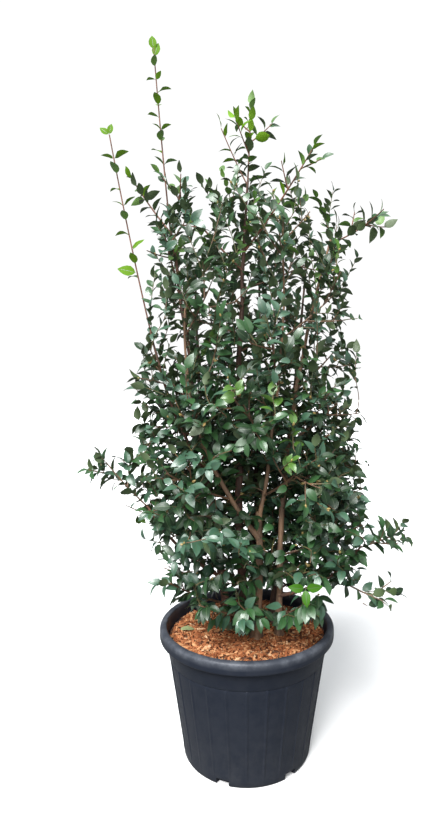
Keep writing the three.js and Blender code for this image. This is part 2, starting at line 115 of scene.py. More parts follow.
# The outermost place on a twig that a leaf can stand on, and a nudge that keeps a length from being nothing.
TWIG_END = 0.999
TINY = 1e-6

# How far the foliage reaches to the left, the right and in depth, by height.
REACH_HEIGHTS = (0.350, 0.450, 0.560, 0.680, 0.800, 0.940, 1.080, 1.220, 1.350, 1.450)
REACH_LEFT = (0.190, 0.225, 0.290, 0.320, 0.300, 0.310, 0.300, 0.275, 0.285, 0.240)
REACH_RIGHT = (0.210, 0.320, 0.350, 0.340, 0.310, 0.280, 0.285, 0.280, 0.290, 0.210)
REACH_DEPTH = (0.200, 0.270, 0.305, 0.310, 0.290, 0.285, 0.280, 0.265, 0.245, 0.180)

# Tiers of masses: the height of their tips, how many there are, and the turn of the first in degrees.
TIERS = (
    (0.500, 4, 20.0),
    (0.630, 5, 52.0),
    (0.770, 5, 8.0),
    (0.905, 5, 44.0),
    (1.040, 4, 15.0),
    (1.175, 4, 62.0),
    (1.310, 4, 28.0),
)

# A clear space at the front, low down, through which the stems show.
WINDOW_CENTRE = np.array([0.008, -0.175, 0.590])
WINDOW_RADII = np.array([0.100, 0.175, 0.125])


# ---- small helpers
def unit(vector: Points) -> Points:
    """Returns a vector scaled to length one."""
    return vector / math.sqrt(float(vector @ vector))


def mix(low: float, high: float, share: float) -> float:
    """Returns the value a share of the way from low to high."""
    return low + (high - low) * share


def cross(first: Points, second: Points) -> Points:
    """Works out the cross product of two vectors.

    Args:
        first: The first vector.
        second: The second vector.

    Returns:
        The vector at right angles to both.
    """
    return np.array([
        first[1] * second[2] - first[2] * second[1],
        first[2] * second[0] - first[0] * second[2],
        first[0] * second[1] - first[1] * second[0],
    ])


def square_to(vector: Points, direction: Points) -> Points:
    """Returns the unit vector nearest to a vector and at right angles to a direction."""
    return unit(vector - direction * float(vector @ direction))


def turned(first: Points, second: Points, angle: float) -> Points:
    """Returns the direction that lies an angle away from the first one, towards the second."""
    return first * math.cos(angle) + second * math.sin(angle)


def cross_frame(direction: Points) -> tuple[Points, Points]:
    """Finds two directions at right angles to a given one and to each other.

    Args:
        direction: A unit vector.

    Returns:
        Two unit vectors.
    """
    helper = np.array([1.0, 0.0, 0.0]) if abs(direction[2]) > 0.9 else UP
    first = unit(cross(direction, helper))
    return first, cross(direction, first)


def bezier(start: Points, control: Points, end: Points, share: float) -> Points:
    """Returns the point a share of the way along a quadratic curve."""
    rest = 1 - share
    return rest * rest * start + 2 * rest * share * control + share * share * end


def curve(start: Points, control: Points, end: Points, count: int) -> Points:
    """Returns a number of points, spread evenly along a quadratic curve."""
    return np.array([bezier(start, control, end, share) for share in np.linspace(0, 1, count)])


def sagging_curve(start: Points, end: Points, sag: float, count: int) -> Points:
    """Works out a curve that hangs a little between its ends.

    Args:
        start: Where it starts.
        end: Where it ends.
        sag: How far its control point hangs, as a share of its length.
        count: How many points.

    Returns:
        The points.
    """
    return curve(start, (start + end) / 2 - UP * (sag * math.dist(start, end)), end, count)


def travelled(path: Points) -> Points:
    """Returns the length of the way from the start of a path to each of its points."""
    return np.concatenate(([0], np.cumsum(np.linalg.norm(np.diff(path, axis=0), axis=1))))


def place_on(path: Points, along: float) -> tuple[Points, Points]:
    """Finds a place on a path.

    Args:
        path: The path's points.
        along: How far along the path, from 0 to 1.

    Returns:
        The point there and the onward direction.
    """
    place = along * (len(path) - 1)
    step = min(int(place), len(path) - 2)
    point = path[step] + (path[step + 1] - path[step]) * (place - step)
    return point, unit(path[step + 1] - path[step])


class SeededStream:
    """A repeatable stream of numbers from 0 to 1."""

    MULTIPLIER = 1664525
    INCREMENT = 1013904223
    RANGE = 1 << 32

    def __init__(self, seed: int) -> None:
        """Starts the stream and skips its first two numbers.

        Args:
            seed: The number that the stream follows from.
        """
        self.state = seed % self.RANGE
        self.next()
        self.next()

    def next(self) -> float:
        """Returns the next number."""
        self.state = (self.state * self.MULTIPLIER + self.INCREMENT) % self.RANGE
        return self.state / self.RANGE

    def between(self, low: float, high: float) -> float:
        """Returns the next number, spread from low to high."""
        return mix(low, high, self.next())


class PathSet:
    """Paths of equal point counts, for finding the closest place on each of them to many points."""

    def __init__(self, paths: Iterable[Points]) -> None:
        """Keeps the steps of the paths as arrays.

        Args:
            paths: The paths.
        """
        stacked = np.stack(list(paths))
        self.start = stacked[:, :-1]
        self.step = stacked[:, 1:] - stacked[:, :-1]
        self.square = np.einsum("mki,mki->mk", self.step, self.step)

    def closest(self, points: Points) -> tuple[Points, Points]:
        """Finds the closest place on every path to every point.

        Args:
            points: N points.

        Returns:
            The distances, N by the number of paths, and how far along each path the places lie.
        """
        offset = points[:, None, None, :] - self.start
        share = np.clip(np.einsum("nmki,mki->nmk", offset, self.step) / self.square, 0, 1)
        offset -= share[..., None] * self.step
        distance = np.sqrt(np.einsum("nmki,nmki->nmk", offset, offset))
        nearest = distance.argmin(-1)[..., None]
        along = np.take_along_axis(share, nearest, -1)[..., 0] + nearest[..., 0]
        return np.take_along_axis(distance, nearest, -1)[..., 0], along / self.start.shape[1]


# ---- limbs
@dataclass
class Limb:
    """One tapering stem or bough along a quadratic curve."""

    name: str
    tip: Place
    bow: Place
    radii: Span
    foot: Span | None = None
    on: str = ""
    at: float = 0.0
    start: Points = field(default_factory=lambda: np.zeros(3))
    control: Points = field(default_factory=lambda: np.zeros(3))
    end: Points = field(default_factory=lambda: np.zeros(3))

    def lay_out(self, earlier: dict[str, Limb]) -> None:
        """Places the limb's curve; a bough starts on the middle line of the limb that bears it.

        Args:
            earlier: The limbs placed before, by name.
        """
        self.start = earlier[self.on].point(self.at) if self.on else np.array([*self.foot, FOOT_LEVEL])
        self.end = np.array(self.tip)
        self.control = (self.start + self.end) * 0.5 + 2 * np.array(self.bow)

    def point(self, share: float) -> Points:
        """Returns the point at a share of the curve."""
        return bezier(self.start, self.control, self.end, share)

    def radius(self, share: float, height: float) -> float:
        """Returns the radius at a share of the curve, with the root flare of a stem."""
        flare = 0.0 if self.on else GROWTH.root_flare * math.exp((FOOT_LEVEL - height) / GROWTH.flare_height)
        return mix(self.radii[0], self.radii[1], share) * (1 + flare)

    def outline(self, steps: int) -> tuple[Points, Points]:
        """Works out points and radii along the limb.

        Args:
            steps: How many steps to take.

        Returns:
            The points and the radii.
        """
        shares = np.linspace(0, 1, steps + 1) ** (1.0 if self.on else 1.25)
        path = np.array([self.point(share) for share in shares])
        radii = np.array([self.radius(share, point[2]) for share, point in zip(shares, path)])
        return path, radii


def shrub_limbs() -> list[Limb]:
    """Lists and places the limbs.

    Returns:
        The stems that rise from the mulch, then the boughs that leave them.
    """
    limbs = [
        Limb("stem_leader", (0.003, 0.002, 1.500), (-0.020, 0.006, 0), (0.014, 0.003), foot=(-0.004, 0.034)),
        Limb("stem_front", (0.031, -0.042, 0.624), (0.003, 0, 0), (0.0115, 0.0078), foot=(0.024, -0.040)),
        Limb("stem_right", (0.222, -0.012, 1.340), (-0.040, 0, 0), (0.009, 0.0028), foot=(0.084, -0.026)),
        Limb("stem_left", (-0.213, 0.004, 1.439), (-0.004, 0.026, 0), (0.0105, 0.0028), foot=(-0.046, 0.006)),
        Limb("stem_back", (0.036, 0.168, 1.330), (0.008, 0.034, 0), (0.010, 0.0028), foot=(0.016, 0.088)),
        Limb("stem_back_left", (-0.150, 0.150, 1.280), (-0.024, 0.012, 0), (0.009, 0.0028),
             foot=(-0.052, 0.072)),
        Limb("stem_back_right", (0.172, 0.132, 1.290), (0.004, 0.024, 0), (0.009, 0.0028), foot=(0.068, 0.048)),
        Limb("bough_front_left", (-0.150, -0.122, 1.140), (-0.058, 0, -0.022), (0.0064, 0.0026),
             on="stem_front", at=0.8),
        Limb("bough_front_right", (0.092, -0.126, 1.170), (0.008, -0.012, 0), (0.0056, 0.0026),
             on="stem_front", at=0.93),
        Limb("bough_whip", (-0.246, -0.062, 1.092), (-0.014, -0.014, -0.010), (0.005, 0.0027),
             on="stem_left", at=0.36),
        Limb("bough_low_left", (-0.250, -0.084, 0.650), (-0.010, -0.010, -0.014), (0.005, 0.0027),
             on="stem_left", at=0.12),
        Limb("bough_low_right", (0.290, -0.070, 0.545), (0.012, -0.006, -0.022), (0.005, 0.0027),
             on="stem_right", at=0.1),
    ]
    placed: dict[str, Limb] = {}
    for limb in limbs:
        limb.lay_out(placed)
        placed[limb.name] = limb
    return limbs


# ---- masses
class Zone(Enum):
    """The parts of the crown that the leaves are joined by."""

    SKIRT = "skirt"
    LOW = "low"
    MIDDLE = "middle"
    UPPER = "upper"
    HIGH = "high"
    SHOOTS = "shoots"


@dataclass
class Blade:
    """One coarse leaf blade of the seeded rule, which stands for a spray of true leaves."""

    base: Points
    direction: Points
    normal: Points
    length: float

    def corners(self) -> Points:
        """Works out the blade's outline.

        Returns:
            The blade's tip and its left and right corners.
        """
        across = unit(cross(self.normal, self.direction)) * (self.length * GROWTH.leaf_width_ratio / 2)
        middle = self.middle() + self.normal * GROWTH.leaf_fold
        return np.array([self.base + self.direction * self.length, middle + across, middle - across])

    def middle(self) -> Points:
        """Returns the point on the midrib where the blade is widest."""
        return self.base + self.direction * (self.length * GROWTH.leaf_widest)

    def test_points(self) -> Points:
        """Spreads points over the blade.

        Returns:
            The points that must lie in the mass's space.
        """
        tip, left, right = self.corners()
        early = self.base + self.direction * (0.2 * self.length)
        return np.array([tip, left, right, early, (tip + left) / 2, (tip + right) / 2, (left + right) / 2,
                         (early + left) / 2, (early + right) / 2])


@dataclass
class Mass:
    """A mass of foliage: a stem on a limb, side twigs and coarse blades."""

    name: str
    limb: int
    stem: Points
    seed: int
    radius: float
    laterals: int
    leaf: float
    spread: float
    along: int
    twigs: list[Points] = field(default_factory=list)
    blades: list[Blade] = field(default_factory=list)

    TIER_ZONES = {"1": Zone.SKIRT, "2": Zone.LOW, "3": Zone.MIDDLE, "4": Zone.UPPER, "5": Zone.UPPER}

    def is_kind(self, start: str) -> bool:
        """Tells whether the mass's name starts with a word: shoot, shoot_whip, spray, spray_front or foliage."""
        return self.name.startswith(start)

    @property
    def is_shoot(self) -> bool:
        """True for the long young shoots on top."""
        return self.is_kind("shoot")

    @property
    def zone(self) -> Zone:
        """The zone of the crown that the mass belongs to.

        Returns:
            The zone, for the body of the crown by its tier's number.
        """
        if self.is_shoot:
            return Zone.SHOOTS
        if self.is_kind("spray"):
            return Zone.SKIRT
        return self.TIER_ZONES.get(self.name.removeprefix("foliage_")[0], Zone.HIGH)


@dataclass(frozen=True)
class Shoot:
    """A mass with a place of its own: a long shoot on top or a spray that reaches out low down."""

    name: str
    on: str
    at: float
    tip: Place
    laterals: int
    leaf: float
    spread: float
    along: int = 3


SHOOTS = (
    Shoot("shoot_leader", "stem_leader", 1, (0.011, 0, 1.700), 4, 0.060, 0.105),
    Shoot("shoot_whip_tall", "stem_left", 1, (-0.249, 0, GROWTH.plant_height - 0.027), 0, 0.050, 0.062, 10),
    Shoot("shoot_whip_left", "bough_whip", 1, (-0.350, -0.066, 1.590), 0, 0.054, 0.064, 10),
    Shoot("shoot_left_low", "stem_left", 0.93, (-0.312, 0.022, 1.512), 1, 0.056, 0.070),
    Shoot("shoot_left_high", "stem_leader", 0.8, (-0.226, -0.036, 1.502), 2, 0.060, 0.080),
    Shoot("shoot_right_high", "stem_leader", 0.84, (0.178, -0.014, 1.584), 3, 0.062, 0.090),
    Shoot("shoot_right_tips", "stem_right", 1, (0.340, -0.014, 1.392), 3, 0.070, 0.110),
    Shoot("spray_far_left", "bough_low_left", 1, (-0.352, -0.090, 0.760), 2, 0.066, 0.085),
    Shoot("spray_far_right", "bough_low_right", 1, (0.364, -0.084, 0.576), 2, 0.074, 0.095),
    Shoot("spray_low_right", "bough_low_right", 0.6, (0.330, -0.130, 0.430), 2, 0.074, 0.095),
    Shoot("spray_low_left", "stem_left", 0.06, (-0.188, -0.118, 0.468), 2, 0.072, 0.090),
    Shoot("spray_front_left", "stem_front", 0.16, (-0.092, -0.172, 0.432), 2, 0.068, 0.085),
    Shoot("spray_front_middle", "stem_front", 0.3, (0, -0.190, 0.404), 1, 0.066, 0.080),
    Shoot("spray_front_right", "stem_right", 0.05, (0.140, -0.166, 0.440), 2, 0.068, 0.085),
)


class GrowthRule:
    """Lays out the masses on the limbs and grows their twigs and coarse blades by the seeded rule."""

    STEM_PARTS = (0.15, 0.3, 0.45, 0.6, 0.75, 0.9, 1.0)
    NEAR_ROOT = 1.5
    LATEST_ROOT = 0.985
    ROOT_STEPS = range(4, 49)
    ROOT_PARTS = 50
    ROOT_INWARD = 0.4
    ROOT_TOO_HIGH = 0.6
    ROOT_BELOW_TIP = 0.025
    LETTERS = "abcde"
    TURN_SCATTER = 14
    HEIGHT_SCATTER = 0.05
    # Faces of a twig and shares of a blade's length that are tried in turn until the blade fits.
    BLADE_TRIES = ((0, 1.0), (1, 1.0), (2, 0.95), (0, 0.75), (1, 0.7))
    BLADE_RISE = 0.12
    BLADE_FACE_UP = 0.75
    BLADE_FACE_OUTWARD = 0.9
    BLADE_LENGTHS = (0.85, 0.2)
    LAST_BLADE = 0.96
    BLADE_SPREADS = (54, 26)
    TWIG_ONWARD = 0.62
    TWIG_ASIDE = 0.78
    TWIG_RISE = 0.15
    TWIG_LENGTHS = (0.85, 0.3)
    TWIG_TRIES = (1.0, 0.75, 0.5)
    TWIG_PARTS = (0.4, 0.7, 1.0)
    TWIG_PLACES = (0.36, 0.9)
    TWIG_BLADES = 3
    FIRST_ON_TWIG = 0.45
    FIRST_ON_STEM = 0.3

    def __init__(self, limbs: list[Limb]) -> None:
        """Lays out and grows every mass.

        Args:
            limbs: The limbs that bear the masses.
        """
        self.limbs = limbs
        outlines = [limb.outline(GROWTH.limb_steps) for limb in limbs]
        self.limb_paths = PathSet(path for path, _ in outlines)
        self.limb_radii = np.array([radii for _, radii in outlines])
        self.masses: list[Mass] = []
        self.roots: list[Points] = []
        self.lay_out_masses()
        self.stems = PathSet(mass.stem for mass in self.masses)
        for number, mass in enumerate(self.masses):
            self.grow(number, mass)

    # ---- spaces
    def limb_gaps(self, points: Points) -> Points:
        """Measures how far points lie from the bark.

        Args:
            points: The points.

        Returns:
            The gap from each point to each limb.
        """
        distance, along = self.limb_paths.closest(points)
        place = along * GROWTH.limb_steps
        step = np.minimum(place.astype(int), GROWTH.limb_steps - 1)
        rows = np.arange(len(self.limbs))[None, :]
        low = self.limb_radii[rows, step]
        high = self.limb_radii[rows, step + 1]
        return distance - low - (high - low) * (place - step)

    @staticmethod
    def in_window(points: Points) -> Points:
        """Returns, for each point, whether it lies in the clear space at the front."""
        return (((points - WINDOW_CENTRE) / WINDOW_RADII) ** 2).sum(-1) < 1

    @staticmethod
    def clear_of_pot(points: Points) -> Points:
        """Tells which points stand clear of the mulch and of the pot's lip.

        Args:
            points: The points.

        Returns:
            True for each point that does.
        """
        over_lip = np.hypot(points[:, 0], points[:, 1]) > GROWTH.rim_inner_radius - 2 * GROWTH.foliage_lift
        floor = np.where(over_lip, GROWTH.pot_height, GROWTH.mulch_top) + GROWTH.foliage_lift
        return points[:, 2] > floor

    def in_space(self, number: int, points: Points, gap: float) -> bool:
        """Tells whether all points belong to a mass and are free.

        Args:
            number: The mass's number.
            points: The points to test.
            gap: The least gap to the limbs.

        Returns:
            True where every point is free.
        """
        if not self.clear_of_pot(points).all() or self.in_window(points).any():
            return False
        distance, _ = self.stems.closest(points)
        own = distance[:, number]
        others = np.delete(distance, number, axis=1)
        if (own > self.masses[number].spread).any() or (others <= own[:, None] + GROWTH.space_margin).any():
            return False
        return bool((self.limb_gaps(points) > gap).all())

    # ---- layout
    @staticmethod
    def mass_stem(root: Points, tip: Points) -> Points:
        """Returns the curve of a mass's stem, from a limb's middle line to the tip."""
        return sagging_curve(root, tip, STEM_SAG, GROWTH.twig_steps + 1)

    def stem_is_free(self, stem: Points, limb: int) -> bool:
        """Tells whether a mass's stem passes clear of the limbs and of the stems laid out before.

        Args:
            stem: The stem's points.
            limb: The number of the limb that bears it.

        Returns:
            True where it is free.
        """
        points = []
        near_root = []
        for step in range(len(stem) - 1):
            for part in self.STEM_PARTS:
                points.append(stem[step] + (stem[step + 1] - stem[step]) * part)
                near_root.append(step == 0 and part * (len(stem) - 1) < self.NEAR_ROOT)
        gaps = self.limb_gaps(np.array(points))
        gaps[np.array(near_root), limb] = np.inf
        if (gaps <= GROWTH.stem_gap).any():
            return False
        if not self.masses:
            return True
        distance, _ = PathSet(mass.stem for mass in self.masses).closest(np.array(points))
        return bool((distance > GROWTH.stem_gap).all())

    def find_root(self, tip: Points) -> tuple[int, float] | None:
        """Finds where a mass starts: the best free place on a limb, below its tip and in line with it.

        Args:
            tip: The tip of the mass's stem.

        Returns:
            The limb's number and the share of its curve, or None where no place is free.
        """
        wish = np.array([self.ROOT_INWARD * tip[0], self.ROOT_INWARD * tip[1], tip[2] - GROWTH.tier_rise])
        places = []
        for limb_number, limb in enumerate(self.limbs):
            for step in self.ROOT_STEPS:
                root = limb.point(step / self.ROOT_PARTS)
                cost = math.dist(root, wish) + self.ROOT_TOO_HIGH * max(0.0, root[2] - wish[2])
                places.append((cost, limb_number, step / self.ROOT_PARTS, root))
        for _, limb_number, at, root in sorted(places, key=lambda place: place[0]):
            too_high = root[2] > tip[2] - self.ROOT_BELOW_TIP
            if too_high or any(math.dist(other, root) < GROWTH.root_spacing for other in self.roots):
                continue
            if self.stem_is_free(self.mass_stem(root, tip), limb_number):
                return limb_number, at
        return None

    def add_mass(self, name: str, limb: int, at: float, tip: Points, sizes: dict[str, float]) -> None:
        """Adds a mass to the list.

        Args:
            name: The mass's name.
            limb: The number of the limb that bears it.
            at: The share of the limb's curve where it starts.
            tip: The tip of its stem.
            sizes: Its own sizes: laterals, leaf, spread and along.
        """
        root = self.limbs[limb].point(min(at, self.LATEST_ROOT))
        _, along = self.limb_paths.closest(root[None, :])
        place = along[0, limb] * GROWTH.limb_steps
        step = min(int(place), GROWTH.limb_steps - 1)
        radius = mix(self.limb_radii[limb, step], self.limb_radii[limb, step + 1], place - step)
        self.roots.append(root)
        self.masses.append(Mass(
            name=name, limb=limb, stem=self.mass_stem(root, tip),
            seed=GROWTH.mass_seed * (len(self.masses) + 1), radius=min(GROWTH.twig_radius, 0.8 * radius), **sizes,
        ))

    def lay_out_masses(self) -> None:
        """Lists every mass with its root, its stem and its own sizes."""
        names = [limb.name for limb in self.limbs]
        for shoot in SHOOTS:
            sizes = {"laterals": shoot.laterals, "leaf": shoot.leaf, "spread": shoot.spread, "along": shoot.along}
            self.add_mass(shoot.name, names.index(shoot.on), shoot.at, np.array(shoot.tip, float), sizes)
        stream = SeededStream(GROWTH.layout_seed)
        sizes = {"laterals": GROWTH.tier_laterals, "leaf": GROWTH.leaf_length, "spread": GROWTH.mass_spread,
                 "along": 3}
        for number, (tier_height, count, turn) in enumerate(TIERS):
            for i in range(count):
                azimuth = math.radians(turn + 360 * i / count + self.TURN_SCATTER * (stream.next() - 0.5))
                height = tier_height + self.HEIGHT_SCATTER * (stream.next() - 0.5)
                side = REACH_RIGHT if math.cos(azimuth) > 0 else REACH_LEFT
                across = math.cos(azimuth) * np.interp(height, REACH_HEIGHTS, side)
                deep = math.sin(azimuth) * np.interp(height, REACH_HEIGHTS, REACH_DEPTH)
                reach = math.hypot(across, deep) - GROWTH.tier_inset
                tip = np.array([reach * math.cos(azimuth), reach * math.sin(azimuth), height])
                if self.in_window(tip):
                    continue
                found = self.find_root(tip)
                if found:
                    self.add_mass(f"foliage_{number + 1}{self.LETTERS[i]}", *found, tip, sizes)

    # ---- growth
    def add_blade(self, number: int, base: Points, onward: Points, face: int, spread: float, length: float,
                  stream: SeededStream) -> None:
        """Adds a coarse blade at a place on a twig, on one of the twig's faces, where it fits.

        Args:
            number: The mass's number.
            base: The place on the twig.
            onward: The twig's direction there.
            face: The face of the twig to try first.
            spread: The angle between blade and twig, in radians.
            length: The blade's length.
            stream: The mass's stream of numbers.
        """
        mass = self.masses[number]
        first, second = cross_frame(onward)
        tilt = 0.5 * (stream.next() - 0.5)
        for face_by, scale in self.BLADE_TRIES:
            side = turned(first, second, (face + face_by + 0.5) * 2 * math.pi / GROWTH.twig_sides)
            direction = turned(onward, side, spread)
            direction[2] += self.BLADE_RISE
            direction = unit(direction)
            outward = unit(np.array([base[0], base[1], 0.0]))
            normal = self.BLADE_FACE_UP * UP + self.BLADE_FACE_OUTWARD * outward + tilt * cross(direction, UP)
            blade = Blade(base, direction, square_to(normal, direction), length * scale)
            middle = blade.middle()
            if any(math.dist(other.middle(), middle) < GROWTH.leaf_spacing for other in mass.blades):
                continue
            if self.in_space(number, blade.test_points(), GROWTH.leaf_gap):
                mass.blades.append(blade)
                return

    def add_blades(self, number: int, path: Points, count: int, start_along: float, stream: SeededStream) -> None:
        """Adds blades along the outer part of a twig, the last close to its tip and in line with it.

        Args:
            number: The mass's number.
            path: The twig's points.
            count: How many blades to try.
            start_along: Where the first stands on the twig.
            stream: The mass's stream of numbers.
        """
        start = int(GROWTH.twig_sides * stream.next())
        shortest, more = self.BLADE_LENGTHS
        for i in range(count):
            point, onward = place_on(path, mix(start_along, self.LAST_BLADE, i / (count - 1)))
            length = self.masses[number].leaf * (shortest + more * stream.next())
            spread = math.radians(self.BLADE_SPREADS[i == count - 1])
            self.add_blade(number, point, onward, start + i, spread, length, stream)

    def side_twig(self, number: int, along: float, turn: float, stream: SeededStream) -> Points | None:
        """Grows a side twig from a mass's stem, as long as its space allows.

        Args:
            number: The mass's number.
            along: Where it leaves the stem.
            turn: The side that it leaves by, in radians.
            stream: The mass's stream of numbers.

        Returns:
            The twig's two ends, or None where there is no room.
        """
        mass = self.masses[number]
        point, onward = place_on(mass.stem, along)
        direction = self.TWIG_ONWARD * onward + self.TWIG_ASIDE * turned(*cross_frame(onward), turn)
        direction[2] += self.TWIG_RISE
        direction = unit(direction)
        shortest, more = self.TWIG_LENGTHS
        full = GROWTH.side_twig_length * (shortest + more * stream.next()) * mass.spread / GROWTH.mass_spread
        for scale in self.TWIG_TRIES:
            path = np.array([point + direction * (part * scale * full) for part in self.TWIG_PARTS])
            if self.in_space(number, path, GROWTH.twig_gap):
                return np.array([point, path[-1]])
        return None

    def grow(self, number: int, mass: Mass) -> None:
        """Grows a mass's side twigs and coarse blades.

        Args:
            number: The mass's number.
            mass: The mass.
        """
        stream = SeededStream(mass.seed)
        turn = 2 * math.pi * stream.next()
        for i in range(mass.laterals):
            turn += GOLDEN_ANGLE
            path = self.side_twig(number, mix(*self.TWIG_PLACES, (i + 0.5) / mass.laterals), turn, stream)
            if path is None:
                continue
            mass.twigs.append(path)
            self.add_blades(number, path, self.TWIG_BLADES, self.FIRST_ON_TWIG, stream)
        self.add_blades(number, mass.stem, mass.along, self.FIRST_ON_STEM, stream)


# ---- finer growth
@dataclass
class Waves:
    """A smooth wandering value over space, from a seeded sum of waves."""

    seed: int
    wavelength: float
    count: int = 7

    def __post_init__(self) -> None:
        """Draws the waves' directions, lengths and phases."""
        draws = np.random.default_rng(self.seed)
        directions = draws.normal(size=(self.count, 3))
        directions /= np.linalg.norm(directions, axis=1)[:, None]
        lengths = self.wavelength * draws.uniform(0.6, 1.6, self.count)
        self.vectors = directions * (2 * math.pi / lengths)[:, None]
        self.phases = draws.uniform(0, 2 * math.pi, self.count)

    def at(self, points: Points) -> Points:
        """Returns the value, mostly from -1 to 1, at each point."""
        return np.sin(points @ self.vectors.T + self.phases).sum(-1) / math.sqrt(self.count)


RAGGED_WAVES = Waves(77, 0.15)

# The spray that reaches out level over the pot's lip.
LOW_RIGHT = "spray_low_right"


def crown_share(place: Points, allowance: float) -> float:
    """Tells how far out in the crown a place lies, with a reach that wanders in and out.

    Args:
        place: The place.
        allowance: How much wider than its reach the crown is taken.

    Returns:
        0 on the axis and 1 at the crown's reach, widened by the allowance.
    """
    side = REACH_RIGHT if place[0] > 0 else REACH_LEFT
    allowance += by_height(place[2], FINE.ragged) * float(RAGGED_WAVES.at(place))
    if place[0] < 0:
        level, taper = FINE.low_left
        allowance -= taper * max(0.0, level - place[2])
    across = place[0] / (np.interp(place[2], REACH_HEIGHTS, side) + allowance)
    deep = place[1] / (np.interp(place[2], REACH_HEIGHTS, REACH_DEPTH) + allowance)
    over = max(0.0, place[2] - REACH_HEIGHTS[-1]) / (FINE.over_top + allowance)
    return math.sqrt(across * across + deep * deep + over * over)


def by_height(height: float, values: tuple[float, ...]) -> float:
    """Returns the value that holds at a height of the crown, from those listed for the fine sizes' heights."""
    return float(np.interp(height, FINE.heights, values))


def above_floor(points: Points) -> Points:
    """Returns, for each point, whether it lies above the crown's low edge, which is higher towards the front."""
    return points[..., 2] > FINE.floor_level - FINE.floor_slope * points[..., 1]


@dataclass(frozen=True)
class SightWindow:
    """A clear space in front of the stems: an egg shape that slants along the line of sight."""

    centre: Place
    radii: Place
    slope: float = 0.195

    def holds(self, points: Points) -> Points:
        """Tells which points lie in the clear space.

        Args:
            points: The points.

        Returns:
            True for each point that does.
        """
        offset = points - np.array(self.centre)
        offset[..., 2] += self.slope * offset[..., 1]
        return ((offset / np.array(self.radii)) ** 2).sum(-1) < 1


# The first three show the stems and the cut stub low in front, the last the dark leader high up.
SIGHT_WINDOWS = (
    SightWindow((0.006, -0.215, 0.707), (0.100, 0.150, 0.092)),
    SightWindow((0.090, -0.225, 0.605), (0.026, 0.160, 0.150)),
    SightWindow((0.030, -0.215, 0.615), (0.030, 0.150, 0.052)),
    SightWindow((-0.0145, -0.150, 1.130), (0.016, 0.155, 0.150), -0.125),
)


def in_sight_window(points: Points) -> Points:
    """Returns, for each point, whether it lies in one of the clear spaces."""
    return np.any([window.holds(points) for window in SIGHT_WINDOWS], axis=0)


class SpacedPlaces:
    """Places that keep a least distance from each other, looked up by cell."""

    NEIGHBOURS = tuple(np.array([x, y, z]) for x in (-1, 0, 1) for y in (-1, 0, 1) for z in (-1, 0, 1))

    def __init__(self, spacing: float, places: Iterable[Points] = ()) -> None:
        """Starts with some places, however close they are.

        Args:
            spacing: The least distance between two places.
            places: The first places.
        """
        self.spacing = spacing
        self.cells: dict[tuple[int, ...], list[Points]] = {}
        for place in places:
            self.add(place)

    def home(self, place: Points) -> Points:
        """Returns the cell that a place lies in."""
        return np.floor(place / self.spacing).astype(int)

    def add(self, place: Points) -> None:
        """Adds a place."""
        self.cells.setdefault(tuple(self.home(place)), []).append(place)

    def is_open(self, place: Points, spacing: float) -> bool:
        """Tells whether no other place lies too close.

        Args:
            place: The place to test.
            spacing: The least distance, at most the usual one.

        Returns:
            True where the place is open.
        """
        home = self.home(place)
        around = (self.cells.get(tuple(home + step), ()) for step in self.NEIGHBOURS)
        return not any(math.dist(other, place) < spacing for cell in around for other in cell)

    def take(self, place: Points, spacing: float | None = None) -> bool:
        """Adds a place where it is open.

        Args:
            place: The place.
            spacing: The least distance to others, where it is less than the usual one.

        Returns:
            True where it was added.
        """
        if not self.is_open(place, spacing or self.spacing):
            return False
        self.add(place)
        return True


class BearerPlaces:
    """The places along limbs and twigs that finer twigs can start from."""

    ABOVE_MARGIN = 0.01
    ABOVE_COST = 0.5

    def __init__(self, pitch: float) -> None:
        """Starts empty.

        Args:
            pitch: The distance between two places.
        """
        self.pitch = pitch
        self.places = np.empty((0, 3))
        self.onward = np.empty((0, 3))

    def add(self, path: Points) -> None:
        """Adds the places along a path.

        Args:
            path: The path's points.
        """
        for start, end in zip(path[:-1], path[1:]):
            count = max(1, int(math.dist(start, end) / self.pitch))
            shares = ((np.arange(count) + 0.5) / count)[:, None]
            self.places = np.concatenate([self.places, start + (end - start) * shares])
            self.onward = np.concatenate([self.onward, np.repeat(unit(end - start)[None], count, 0)])

    def nearest(self, target: Points, rise: float) -> tuple[Points, Points, float]:
        """Finds the best place to start for a target: near it and not above it.

        Args:
            target: Where the twig shall end.
            rise: How far the twig would best rise on its way.

        Returns:
            The place, the bearer's direction there and the cost.
        """
        offset = self.places - target + rise * UP
        above = np.maximum(0, offset[:, 2] + self.ABOVE_MARGIN)
        cost = np.sqrt((offset * offset).sum(1)) + self.ABOVE_COST * above
        best = int(cost.argmin())
        return self.places[best], self.onward[best], float(cost[best])


